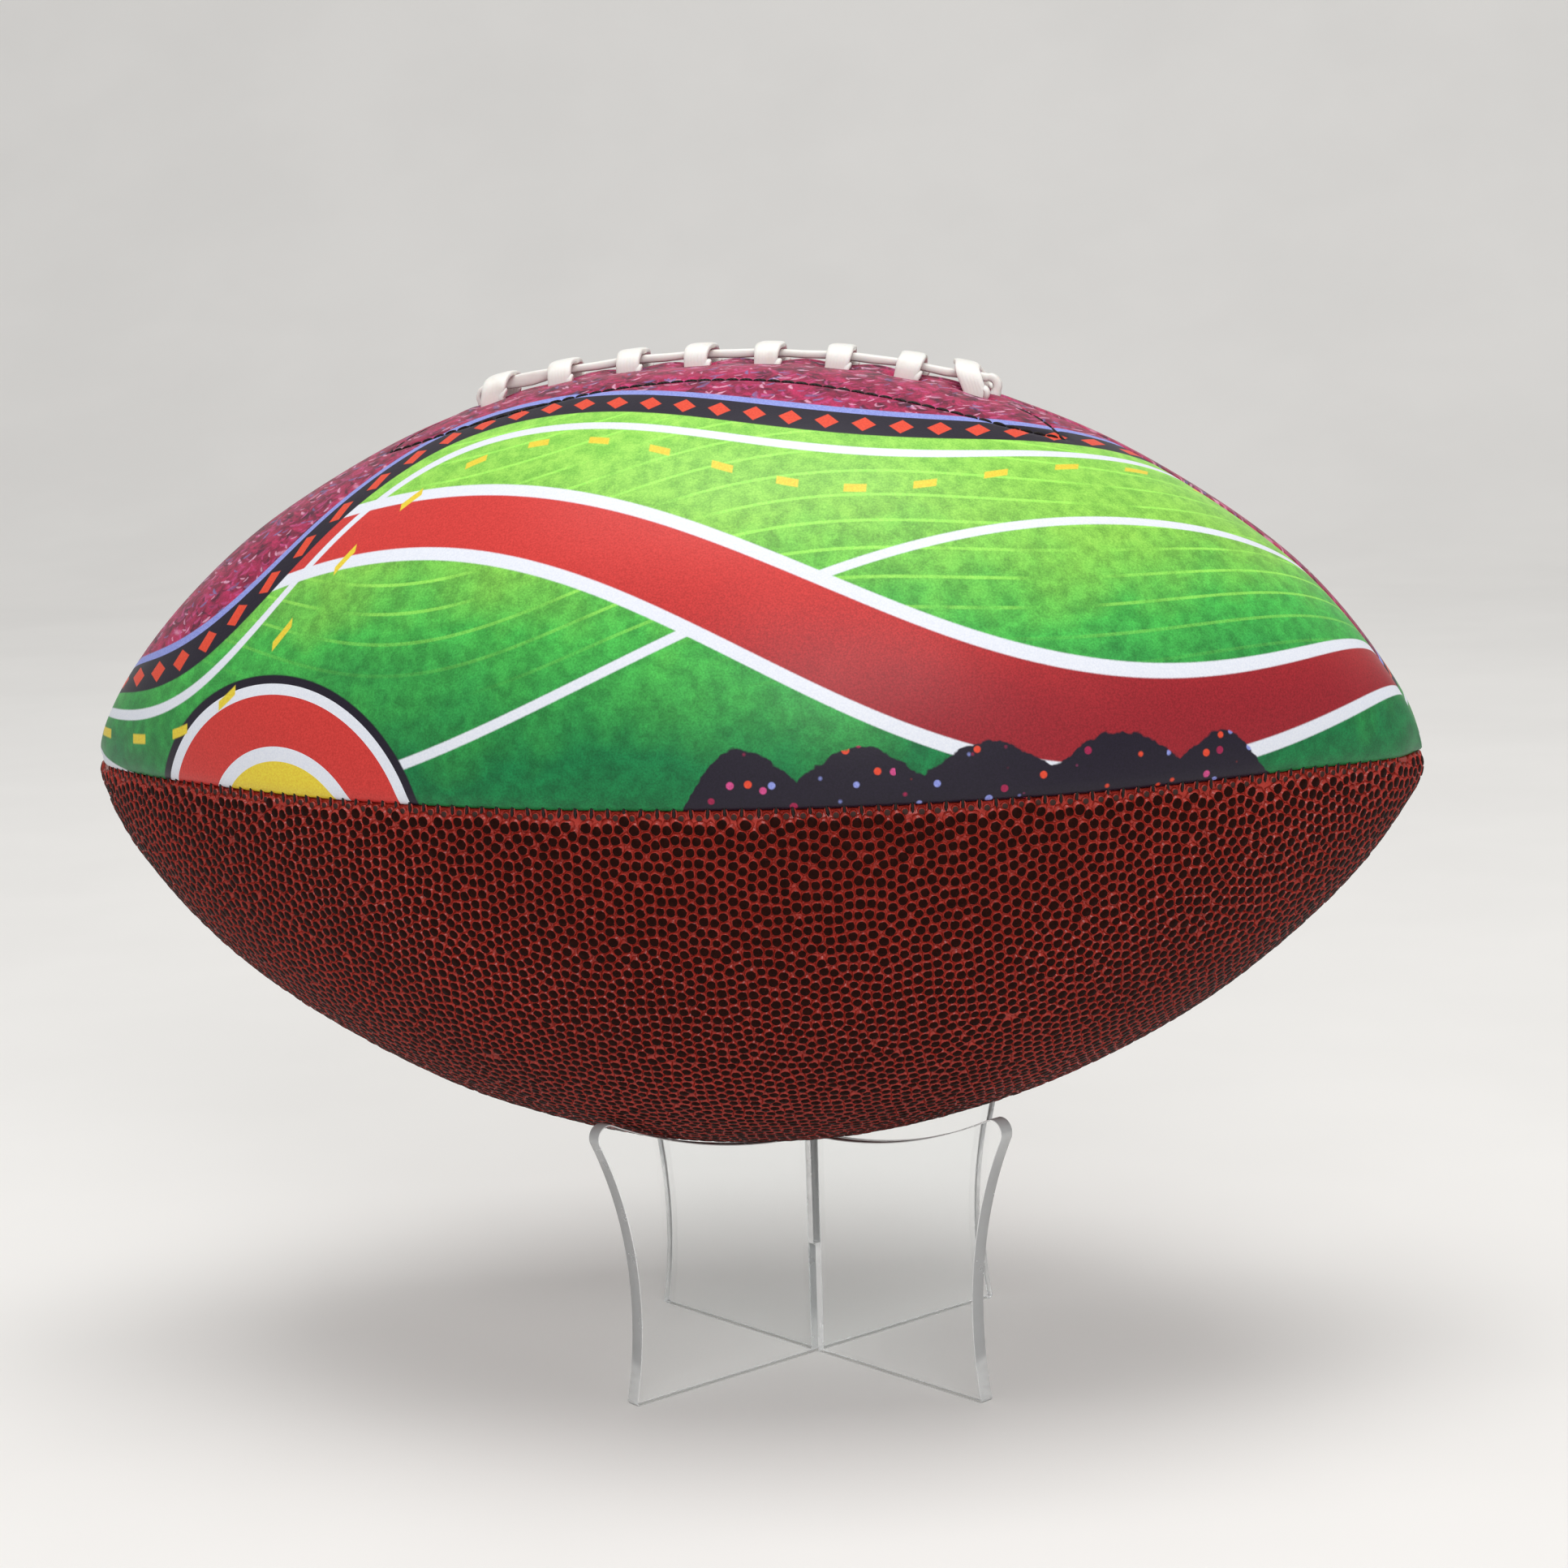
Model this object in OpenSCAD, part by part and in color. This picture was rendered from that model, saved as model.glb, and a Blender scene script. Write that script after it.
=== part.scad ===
// An American football resting on a clear stand of two interlocking plates.
// Millimetres. +Z is up, +X runs along the ball's long axis and the origin lies on
// the floor under the middle of the ball.

/* [Ball] */
// Length of the ball from tip to tip
ball_len = 285; // [270:1:295]
// Diameter of the ball at its middle
ball_d = 166.4; // [158:0.2:174]
// How full the shoulders of the ball are
shoulder = 1.96; // [1.85:0.01:2.15]
// How fast the ball draws in towards its tips
taper = 0.73; // [0.68:0.01:0.8]
// Thickness of the cover panels
panel_t = 2; // [1.6:0.1:2.4]
// Thickness of the lining behind each panel
lining_t = 1.2; // [0.8:0.1:1.6]
// Thickness of the air bladder
bladder_t = 1; // [0.6:0.1:1.4]
// Clearance between layers and between sewn edges
layer_gap = 0.1; // [0.08:0.01:0.2]

/* [Seams] */
// Gap between the sewn edges of two panels
seam_gap = 0.3; // [0.2:0.05:0.6]
// Width of the crease along a seam at the middle of the ball
crease_w = 2.4; // [1.6:0.1:3.2]
// Depth of the crease along a seam
crease_d = 0.9; // [0.6:0.1:1.1]
// Width of the thread run in a crease at the middle of the ball
thread_w = 1.2; // [0.8:0.1:1.5]
// Height of the thread run above the bottom of a crease
thread_t = 0.5; // [0.3:0.1:0.6]
// Distance from each tip at which the thread stops
thread_stop = 5; // [4:0.5:10]

/* [Laces] */
// Distance between neighbouring cross laces along the ball
lace_pitch = 14.2; // [13:0.1:15]
// Width of a cross lace
lace_w = 5.6; // [4.6:0.1:6.4]
// Thickness of a cross lace
lace_t = 1.5; // [1.2:0.1:1.8]
// Distance from the lacing slit's middle to each row of holes
hole_row = 6.8; // [6.4:0.1:8]
// Width of the lengthwise lace
run_w = 2.6; // [2.2:0.1:2.7]
// Thickness of the lengthwise lace
run_t = 1.9; // [1.5:0.1:2.1]
// Height of the lengthwise lace above the panels
run_rise = 1; // [0.8:0.1:1.4]
// Inner radius of the turn at each end of the lengthwise lace
turn_r = 1.4; // [1.2:0.1:1.8]
// Width of the lacing slit between the two printed panels
slit_w = 3; // [2.9:0.1:3.6]
// Length of the lacing slit beyond the last cross lace at each end
slit_end = 9; // [8:0.1:11]
// How far the laced area is drawn in from the full round of the ball
lace_flat = 1.9; // [1.4:0.1:2.2]
// Radius of the laced area's curve along the ball
lace_arc_r = 230; // [215:1:240]
// Depth of the folds of lace under the facing, from the laced area's surface
fold_depth = 5; // [4.9:0.1:5.6]
// Thickness of the tongue that shields the bladder from the laces
tongue_t = 1.2; // [0.8:0.1:1.6]
// Width of that tongue
tongue_w = 22; // [18:1:26]

/* [Facing] */
// Half width of the facing patch, to its line of stitches
facing_half_w = 26.5; // [22:0.5:30]
// Where the facing's outline would close along the ball
facing_reach = 80; // [74:1:90]
// Where the facing's outer corners lie along the ball
facing_corner = 70; // [64:0.5:72]
// Width of the line of stitches round the facing
stitch_w = 0.6; // [0.4:0.1:1]
// How far those stitches stand proud of the panel
stitch_t = 0.3; // [0.2:0.05:0.5]

/* [Valve] */
// Radius of the valve's nose in its hole
valve_r = 2.4; // [1.8:0.1:2.6]
// Radius of the valve's body inside the bladder
valve_body_r = 4.2; // [3.4:0.1:5]
// Length of the valve's body inside the bladder
valve_body_l = 10; // [7:0.5:14]
// Radius of the flange that bonds the valve to the bladder
valve_flange_r = 8; // [6:0.5:9]
// Thickness of that flange
valve_flange_t = 1.2; // [0.8:0.1:2]
// How deep the valve's nose sits below the panel's surface
valve_sink = 0.5; // [0.3:0.1:1]
// Radius of the dimple that guides an inflating needle
needle_r = 1; // [0.7:0.1:1.2]
// Depth of that dimple
needle_depth = 2.5; // [1:0.5:5]

/* [Stand] */
// Thickness of the two plates
plate_t = 3.2; // [2:0.1:5]
// Half length of a plate at its narrowest
waist_half = 50.2; // [42:0.2:60]
// Height of the narrowest place above the floor
waist_z = 19; // [10:1:26]
// Radius of the hollow curve at each end of a plate
side_r = 84; // [70:1:120]
// Height of the cradle's lowest point above the floor
cradle_z = 48.5; // [40:0.5:60]
// Radius of the cradle's curve
cradle_r = 130; // [120:1:150]
// Radius of the rounded horns
horn_r = 2.8; // [2:0.1:4]
// Clearance on each side of a plate in the other plate's slot
slot_clear = 0.1; // [0.05:0.01:0.25]
// Offset of the stand's middle along the ball
stand_x = 11.4; // [0:0.2:14]
// Offset of the stand's middle across the ball
stand_y = 1.7; // [-3:0.1:3]
// Turn of the lower plate away from the ball's long axis
stand_turn = 50.5; // [40:0.5:55]
// Gap between the resting ball and the cradle
seat_clear = 0.3; // [0.2:0.05:0.5]

/* [Hidden] */
$fn = 96;

// Quarters of the ball: [side of Y, side of Z]
FRONT_TOP = [-1, 1];
BACK_TOP = [1, 1];
FRONT_LOW = [-1, -1];
BACK_LOW = [1, -1];
// Places of the seams round the ball, in degrees from its bottom by way of its back
SEAM_BOTTOM = 0;
SEAM_BACK = 90;
SEAM_TOP = 180;
SEAM_FRONT = 270;

lace_count = 8;                         // one node for each
profile_steps = 24;
outline_steps = 28;
reach = ball_len;                       // longer than the half ball, for cutting tools
half_len = ball_len / 2;
lining_in = panel_t + layer_gap;
bladder_in = lining_in + lining_t + layer_gap;
hole_clear = layer_gap;

// The laced area is part of a round that lies across the ball, about an axis along Y.
lace_axis_z = ball_d / 2 - lace_flat - lace_arc_r;
lace_step = lace_pitch / lace_arc_r * 180 / PI;
first_lace = -lace_step * (lace_count - 1) / 2;
slit_half = (lace_count - 1) / 2 * lace_pitch + slit_end;
run_end = -first_lace + (lace_w / 2 + turn_r / 2) / lace_arc_r * 180 / PI;
tongue_in = fold_depth + lace_t + layer_gap;
tongue_bottom = tongue_in + tongue_t;
tongue_half = slit_half + 4;
facing_back_off = 8;                    // where the end stitches meet the slit's line

// Radius of the ball's round section at x, for a surface that lies inset inside it
function ball_radius(x, inset = 0) =
    let (u = min(abs(x) / (half_len - inset), 1))
    (ball_d / 2 - inset) * pow(1 - pow(u, shoulder), taper);

// Points along the ball's outline from one tip to the other: [radius, place along X]
function ball_points(inset) = [
    for (i = [-profile_steps : profile_steps])
    let (x = (half_len - inset) * sin(90 * i / profile_steps))
    [ball_radius(x, inset), x]
];
function reversed(list) = [for (i = [len(list) - 1 : -1 : 0]) list[i]];

// Points of a band that follows the outline between two places along X
function band_points(low, high, x0, x1) =
    let (steps = 2 * profile_steps,
         xs = [for (i = [0 : steps]) x0 + (x1 - x0) * (1 - cos(180 * i / steps)) / 2])
    concat([for (x = xs) [ball_radius(x) + high, x]],
           reversed([for (x = xs) [ball_radius(x) + low, x]]));

// Points of an arc between two angles
function arc_points(centre, r, a0, a1, steps) = [
    for (i = [0 : steps])
    let (a = a0 + (a1 - a0) * i / steps)
    centre + r * [cos(a), sin(a)]
];

// Where two rounds of the given centres and radii cross, on the lower side
function crossing(c1, r1, c2, r2) =
    let (d = norm(c2 - c1), a = (d * d + r1 * r1 - r2 * r2) / (2 * d),
         h = sqrt(max(r1 * r1 - a * a, 0)), u = (c2 - c1) / d)
    c1 + a * u + h * [u[1], -u[0]];

// The horn at each end of a plate touches the cradle's curve and the end's hollow curve.
cradle_c = [0, cradle_z + cradle_r];
side_c = [waist_half + side_r, waist_z];
horn_c = crossing(cradle_c, cradle_r + horn_r, side_c, side_r + horn_r);
horn_to_cradle = atan2(cradle_c[1] - horn_c[1], cradle_c[0] - horn_c[0]);
horn_to_side = atan2(side_c[1] - horn_c[1], side_c[0] - horn_c[0]);
foot_angle = 180 + asin(waist_z / side_r);

// Outline of one half of a plate, from the floor up its end and along the cradle
half_plate = concat(
    arc_points(side_c, side_r, foot_angle, 180 + horn_to_side, outline_steps),
    arc_points(horn_c, horn_r, horn_to_side, horn_to_cradle, 12),
    arc_points(cradle_c, cradle_r, horn_to_cradle - 180, -90, outline_steps));
plate_outline = concat(half_plate, [for (p = reversed(half_plate)) [-p[0], p[1]]]);
joint_z = cradle_z / 2;

// The ball rests on the highest place where the cradle reaches its underside.
seat_places = [
    for (turn = [stand_turn, stand_turn + 90], side = [-1, 1], l = [-horn_c[0] : 0.5 : horn_c[0]])
    let (x = stand_x + l * cos(turn) - side * plate_t / 2 * sin(turn),
         y = stand_y + l * sin(turn) + side * plate_t / 2 * cos(turn),
         r = ball_radius(x))
    cradle_z + cradle_r - sqrt(cradle_r * cradle_r - l * l) + sqrt(max(r * r - y * y, 0))
];
ball_z = max(seat_places) + seat_clear;

// Half width of the facing's stitch line at x
function facing_width(x, inset) =
    (facing_half_w - inset) * pow(1 - pow(abs(x) / (facing_reach - inset), 6), 0.7);

// Outline of the facing on the side of +Y, seen from above
function facing_points(inset) = concat(
    [for (i = [-outline_steps : outline_steps])
     let (x = (facing_corner - 2 * inset) * sin(90 * i / outline_steps))
     [x, facing_width(x, inset)]],
    [[slit_half - inset, 0], [-slit_half + inset, 0]]);

// A solid with the ball's own shape, inset by a distance, with its laced area drawn in
module ball_solid(inset, flat_inset) {
    intersection() {
        rotate([0, 90, 0]) rotate_extrude() polygon(ball_points(inset));
        translate([0, 0, lace_axis_z]) rotate([90, 0, 0])
            cylinder(r = lace_arc_r - flat_inset, h = reach, center = true);
    }
}

module shell(inset, t, flat_inset) {
    difference() {
        ball_solid(inset, flat_inset);
        ball_solid(inset + t, flat_inset + t);
    }
}

// One quarter of space round the long axis, clear of its neighbours by half a seam
module quarter(side) {
    edge = seam_gap / 2;
    translate([-reach / 2, side[0] > 0 ? edge : -reach - edge, side[1] > 0 ? edge : -reach - edge])
        cube([reach, reach, reach]);
}

// A band over the ball's surface along one seam
module seam_band(place, width, low, high, x0, x1) {
    angle = width / (ball_d / 2) * 180 / PI;
    rotate([0, 90, 0]) rotate([0, 0, place - angle / 2])
        rotate_extrude(angle = angle) polygon(band_points(low, high, x0, x1));
}

module creases() {
    end = half_len - thread_stop;
    for (place = [SEAM_BOTTOM, SEAM_BACK, SEAM_TOP, SEAM_FRONT])
        seam_band(place, crease_w, -crease_d, 3, -end, end);
}

// Moves its children to the laced area's surface, at an angle along its curve
module on_laced_area(angle) {
    translate([0, 0, lace_axis_z]) rotate([0, angle, 0]) translate([0, 0, lace_arc_r]) children();
}

// A strip that follows the laced area's curve, from its outline
module lace_strip(angle, r, w, t) {
    translate([0, 0, lace_axis_z]) rotate([90, 0, 0]) rotate([0, 0, 90 - angle])
        rotate_extrude(angle = 2 * angle) translate([r, -w / 2]) square([t, w]);
}

// Section of the lengthwise lace, with its corners taken off
module run_section() {
    c = run_t / 4;
    polygon([[c, -run_w / 2], [run_t - c, -run_w / 2], [run_t, c - run_w / 2], [run_t, run_w / 2 - c],
             [run_t - c, run_w / 2], [c, run_w / 2], [0, run_w / 2 - c], [0, c - run_w / 2]]);
}

// The slit and the two rows of lace holes, cut through the laced area
module lacing_cuts() {
    translate([-slit_half, -slit_w / 2, 0]) cube([2 * slit_half, slit_w, ball_d]);
    for (i = [0 : lace_count - 1], side = [-1, 1])
        on_laced_area(first_lace + i * lace_step)
            translate([0, side * hole_row, 0])
                cube([lace_w + 2 * hole_clear, lace_t + 2 * hole_clear, 4 * fold_depth], center = true);
}

module facing_area(inset) {
    linear_extrude(ball_d) polygon(facing_points(inset));
}

module on_side(side) {
    if (side > 0) children();
    else mirror([0, 1, 0]) children();
}

module on_valve_axis() {
    rotate([-135, 0, 0]) children();
}

module stand_plate() {
    rotate([90, 0, 0]) linear_extrude(plate_t, center = true) polygon(plate_outline);
}

module in_stand(turn) {
    translate([stand_x, stand_y, 0]) rotate([0, 0, stand_turn + turn]) children();
}

module plate_slot(from_z, to_z) {
    w = plate_t + 2 * slot_clear;
    translate([-w / 2, -plate_t, from_z]) cube([w, 2 * plate_t, to_z - from_z]);
}

module stand_plate_lower() {
    color([0.86, 0.9, 0.92, 0.4]) in_stand(0) difference() {
        stand_plate();
        plate_slot(joint_z - slot_clear / 2, cradle_z + horn_r);
    }
}

module stand_plate_upper() {
    color([0.86, 0.9, 0.92, 0.4]) in_stand(90) difference() {
        stand_plate();
        plate_slot(-horn_r, joint_z + slot_clear / 2);
    }
}

module in_ball() {
    translate([0, 0, ball_z]) children();
}

module panel(side) {
    difference() {
        intersection() {
            shell(0, panel_t, 0);
            quarter(side);
        }
        creases();
        if (side[1] > 0) lacing_cuts();
        if (side == BACK_LOW) on_valve_axis() cylinder(r = valve_r + hole_clear, h = ball_d);
    }
}

module lining(side) {
    difference() {
        intersection() {
            shell(lining_in, lining_t, lining_in);
            quarter(side);
        }
        if (side[1] > 0) on_side(side[0]) facing_area(-stitch_w);
        if (side == BACK_LOW) on_valve_axis() cylinder(r = valve_r + hole_clear, h = ball_d);
    }
}

module facing(side) {
    difference() {
        intersection() {
            shell(lining_in, lining_t, lining_in);
            quarter([side, 1]);
            on_side(side) facing_area(layer_gap - stitch_w);
        }
        lacing_cuts();
    }
}

module facing_stitches(side) {
    color([0.1, 0.08, 0.08]) in_ball() intersection() {
        difference() {
            ball_solid(-stitch_t, -stitch_t);
            ball_solid(0, 0);
        }
        on_side(side) difference() {
            facing_area(-stitch_w / 2);
            facing_area(stitch_w / 2);
            translate([-reach, -1, 0]) cube([2 * reach, facing_back_off, ball_d]);
        }
    }
}

module bladder() {
    color([0.13, 0.12, 0.12]) in_ball() difference() {
        ball_solid(bladder_in, tongue_bottom + layer_gap);
        ball_solid(bladder_in + bladder_t, tongue_bottom + layer_gap + bladder_t);
        on_valve_axis() cylinder(r = valve_r + hole_clear / 2, h = ball_d);
    }
}

module valve() {
    nose_end = ball_d / 2 - valve_sink;
    flange_top = ball_d / 2 - bladder_in - bladder_t
        - valve_flange_r * valve_flange_r / ball_d - layer_gap;
    body_end = flange_top - valve_body_l;
    color([0.09, 0.09, 0.09]) in_ball() on_valve_axis() difference() {
        union() {
            translate([0, 0, body_end]) cylinder(r = valve_body_r, h = valve_body_l - valve_flange_t / 2);
            translate([0, 0, flange_top - valve_flange_t]) cylinder(r = valve_flange_r, h = valve_flange_t);
            translate([0, 0, flange_top - valve_flange_t]) cylinder(r = valve_r, h = nose_end - flange_top
                + valve_flange_t);
        }
        translate([0, 0, nose_end - needle_depth]) cylinder(r = needle_r, h = needle_depth + 1);
    }
}

module lace_tongue() {
    angle = tongue_half / lace_arc_r * 180 / PI;
    color([0.75, 0.72, 0.66]) in_ball() intersection() {
        lace_strip(angle, lace_arc_r - tongue_bottom, tongue_w, tongue_t);
        ball_solid(bladder_in, 0);
    }
}

module lengthwise_lace() {
    color([0.94, 0.93, 0.9]) in_ball() {
        translate([0, 0, lace_axis_z]) rotate([90, 0, 0]) rotate([0, 0, 90 - run_end])
            rotate_extrude(angle = 2 * run_end)
                translate([lace_arc_r + run_rise, 0]) run_section();
        for (end = [-1, 1])
            on_laced_area(end * run_end) mirror([end > 0 ? 0 : 1, 0, 0])
                translate([0, 0, run_rise - turn_r]) {
                    rotate([90, 0, 0]) rotate_extrude(angle = 90) translate([turn_r, 0]) run_section();
                    leg = fold_depth + run_rise - turn_r;
                    translate([0, 0, -leg]) linear_extrude(leg) translate([turn_r, 0]) run_section();
                }
    }
}

// A cross lace arches over the lengthwise lace, goes down a hole at each side, and
// folds along under the facing to the next hole.
module cross_lace(number) {
    over = run_rise + run_t + hole_clear;
    inner = hole_row - lace_t / 2;
    outer = hole_row + lace_t / 2;
    down = fold_depth + lace_t;
    arch = concat([[outer, -down]], arc_ellipse(outer, over + lace_t, 0, 180), [[-outer, -down]],
                  [[-inner, -down]], arc_ellipse(inner, over, 180, 0), [[inner, -down]]);
    fold_pitch = lace_pitch * (lace_arc_r - down) / lace_arc_r;
    fold_l = number < lace_count ? fold_pitch - 2 * layer_gap : lace_w;
    color([0.95, 0.94, 0.91]) in_ball() on_laced_area(first_lace + (number - 1) * lace_step) {
        rotate([90, 0, 90]) linear_extrude(lace_w, center = true) polygon(arch);
        for (side = [-1, 1]) on_side(side)
            translate([-lace_w / 2, inner - lace_t, -down]) cube([fold_l, 2 * lace_t, lace_t]);
    }
}

// Points of half an ellipse between two angles
function arc_ellipse(a, b, from, to) = [
    for (i = [0 : outline_steps / 2])
    let (t = from + (to - from) * i / (outline_steps / 2))
    [a * cos(t), b * sin(t)]
];

module seam_thread(place) {
    end = half_len - thread_stop;
    low = -crease_d;
    high = thread_t - crease_d;
    color([0.07, 0.05, 0.05]) in_ball() {
        if (place == SEAM_TOP)
            for (side = [-1, 1])
                seam_band(place, thread_w, low, high, side * (slit_half + 1), side * end);
        else seam_band(place, thread_w, low, high, -end, end);
    }
}

module panel_print_front() { color([0.36, 0.68, 0.24]) in_ball() panel(FRONT_TOP); }
module panel_print_back() { color([0.36, 0.68, 0.24]) in_ball() panel(BACK_TOP); }
module panel_pebble_front() { color([0.34, 0.13, 0.1]) in_ball() panel(FRONT_LOW); }
module panel_pebble_back() { color([0.34, 0.13, 0.1]) in_ball() panel(BACK_LOW); }
module lining_print_front() { color([0.8, 0.77, 0.7]) in_ball() lining(FRONT_TOP); }
module lining_print_back() { color([0.8, 0.77, 0.7]) in_ball() lining(BACK_TOP); }
module lining_pebble_front() { color([0.8, 0.77, 0.7]) in_ball() lining(FRONT_LOW); }
module lining_pebble_back() { color([0.8, 0.77, 0.7]) in_ball() lining(BACK_LOW); }
module facing_front() { color([0.7, 0.66, 0.58]) in_ball() facing(-1); }
module facing_back() { color([0.7, 0.66, 0.58]) in_ball() facing(1); }

stand_plate_lower();
stand_plate_upper();
panel_print_front();
panel_print_back();
panel_pebble_front();
panel_pebble_back();
lining_print_front();
lining_print_back();
lining_pebble_front();
lining_pebble_back();
facing_front();
facing_back();
bladder();
valve();
lace_tongue();
lengthwise_lace();
cross_lace(1);  // cross_lace_1
cross_lace(2);  // cross_lace_2
cross_lace(3);  // cross_lace_3
cross_lace(4);  // cross_lace_4
cross_lace(5);  // cross_lace_5
cross_lace(6);  // cross_lace_6
cross_lace(7);  // cross_lace_7
cross_lace(8);  // cross_lace_8
seam_thread(SEAM_FRONT);  // seam_thread_front
seam_thread(SEAM_BACK);  // seam_thread_back
seam_thread(SEAM_BOTTOM);  // seam_thread_bottom
seam_thread(SEAM_TOP);  // seam_thread_top
facing_stitches(-1);  // facing_stitches_front
facing_stitches(1);  // facing_stitches_back
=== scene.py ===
import math

import bmesh
import bpy
import numpy as np
from bpy.props import FloatProperty, FloatVectorProperty, IntProperty, PointerProperty
from mathutils import Matrix, Vector
from mathutils.kdtree import KDTree


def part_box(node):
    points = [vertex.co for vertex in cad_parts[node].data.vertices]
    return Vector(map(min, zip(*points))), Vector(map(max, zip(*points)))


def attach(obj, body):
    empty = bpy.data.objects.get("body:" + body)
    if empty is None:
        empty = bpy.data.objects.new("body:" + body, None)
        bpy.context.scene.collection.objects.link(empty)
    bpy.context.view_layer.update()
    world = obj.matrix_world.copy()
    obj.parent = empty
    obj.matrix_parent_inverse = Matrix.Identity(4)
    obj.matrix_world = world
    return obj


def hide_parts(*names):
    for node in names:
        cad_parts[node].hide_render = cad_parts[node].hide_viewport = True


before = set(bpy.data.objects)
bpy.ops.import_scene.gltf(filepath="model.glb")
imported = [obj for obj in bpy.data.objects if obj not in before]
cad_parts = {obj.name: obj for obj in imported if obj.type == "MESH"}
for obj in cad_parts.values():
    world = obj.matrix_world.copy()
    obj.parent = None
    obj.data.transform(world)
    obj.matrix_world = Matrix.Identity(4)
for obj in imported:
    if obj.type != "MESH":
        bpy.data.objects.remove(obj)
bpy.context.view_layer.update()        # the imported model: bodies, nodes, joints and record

bl_info = {
    "name": "Football on a clear stand",
    "version": (1, 0, 0),
    "blender": (4, 5, 0),
    "location": "3D View > Sidebar > Football",
    "description": "Dresses a football with panels, pebbles, laces and seams, and its clear stand",
    "category": "Add Mesh",
}

MM = 0.001
QUARTER = math.pi / 2


def corners(node):
    """Lowest and highest corner of a CAD node as arrays."""
    low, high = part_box(node)
    return np.array(low), np.array(high)


# The ball's middle height, radius and half length, and the stand's middle, from the frame.
PEBBLE_LOW, PEBBLE_HIGH = corners("panel_pebble_front")
PRINT_LOW, PRINT_HIGH = corners("panel_print_front")
BALL_Z = (PEBBLE_HIGH[2] + PRINT_LOW[2]) / 2
BALL_R = BALL_Z - PEBBLE_LOW[2]
HALF_LEN = PRINT_HIGH[0]
PLATE_MIDDLE = (corners("stand_plate_lower")[0] + corners("stand_plate_lower")[1]) / 2
SEAM_END = HALF_LEN - 5 * MM        # where the stitches of the seams end


# ---------------------------------------------------------------- settings

def linear(code):
    """An sRGB hex colour as linear red, green and blue."""
    parts = [int(code[i:i + 2], 16) / 255 for i in (0, 2, 4)]
    return tuple(c / 12.92 if c <= 0.04045 else ((c + 0.055) / 1.055) ** 2.4 for c in parts)


def length(name, about, default_mm):
    return FloatProperty(name=name, description=about, default=default_mm * MM, min=0.0,
                         precision=5, unit="LENGTH", subtype="DISTANCE")


def number(name, about, default):
    return FloatProperty(name=name, description=about, default=default)


def colour(name, about, code):
    return FloatVectorProperty(name=name, description=about, default=linear(code), size=3,
                               min=0.0, max=1.0, subtype="COLOR")


class BallSettings(bpy.types.PropertyGroup):
    """Shape of the ball's panels and seams."""
    shoulder: number("Shoulder", "How full the shoulders of the ball are", 1.96)
    taper: number("Taper", "How fast the ball draws in towards its tips", 0.73)
    panel: length("Panel", "Thickness of a cover panel", 1.9)
    crease_width: length("Crease width", "How far a panel's edge rolls down to a seam", 2.8)
    crease_depth: length("Crease depth", "How deep a panel's edge sinks at a seam", 1.35)
    laced_round: length("Laced round", "Radius of the laced area's curve along the ball", 230)
    laced_drop: length("Laced drop", "How far the laced area lies below the full round", 1.9)
    slit_half: length("Slit", "Half length of the lacing slit", 58.7)
    facing_width: length("Facing width", "Half width of the facing's line of stitches", 26.5)
    facing_reach: length("Facing reach", "Where the facing's outline would close", 80)
    facing_corner: length("Facing corner", "Where the facing's outer corners lie", 70)


class PrintSettings(bpy.types.PropertyGroup):
    """Colours of the printed panels."""
    lime: colour("Lime", "Bright green of the upper field", "93d455")
    grass: colour("Grass", "Middle green of the field", "45ab4a")
    emerald: colour("Emerald", "Deep green next to the seam", "127240")
    plum: colour("Plum", "Darkest strokes of the crimson area", "3f0d2c")
    crimson: colour("Crimson", "Main colour of the crimson area", "a01f4c")
    magenta: colour("Magenta", "Bright strokes of the crimson area", "cc4a86")
    blush: colour("Blush", "Palest strokes of the crimson area", "efb3cf")
    # The ribbon's red carries painted light on its upper part; the deeper red below is painted
    # shade towards the seam.
    ribbon: colour("Ribbon", "Red of the wide ribbon", "cf3a35")
    ribbon_painted_shade: colour("Ribbon shade", "Deep red of the wide ribbon", "97202a")
    white: colour("White", "White lines", "e6e9f2")
    night: colour("Night", "Dark ribbon and fringe", "1d1626")
    ember: colour("Ember", "Orange-red motifs on the dark ribbon", "e2492f")
    sky: colour("Sky", "Pale blue lines", "8d97dc")
    sun: colour("Sun", "Yellow rings and marks", "e9cf3c")


class PebbleSettings(bpy.types.PropertyGroup):
    """The pebbled lower panels."""
    pitch: length("Pitch", "Distance between neighbouring pebbles", 2.32)
    height: length("Height", "Height of a pebble above the hollows", 0.56)
    spot: number("Spot", "Share of a pebble that its ink covers", 0.77)
    ink: colour("Ink", "Dark colour on the pebbles' tops", "220804")
    # The greyer ink of the small pinned pebbles between the stitches of the side seams.
    pinned_ink: colour("Worn ink", "Greyer colour of the worn pebbles next to a seam", "402e2a")
    hide: colour("Hide", "Red-brown of the hollows and the pebbles' sides", "b0372c")
    # The deeper red-brown is both a random tone of the hide and, darkened further, painted shade in
    # the creases between pebbles.
    hide_dark_and_crease_shade: colour("Hide shade", "Deeper red-brown in the hollows", "8b251c")
    seed: IntProperty(name="Seed", description="Start of the random scatter", default=11)


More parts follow.
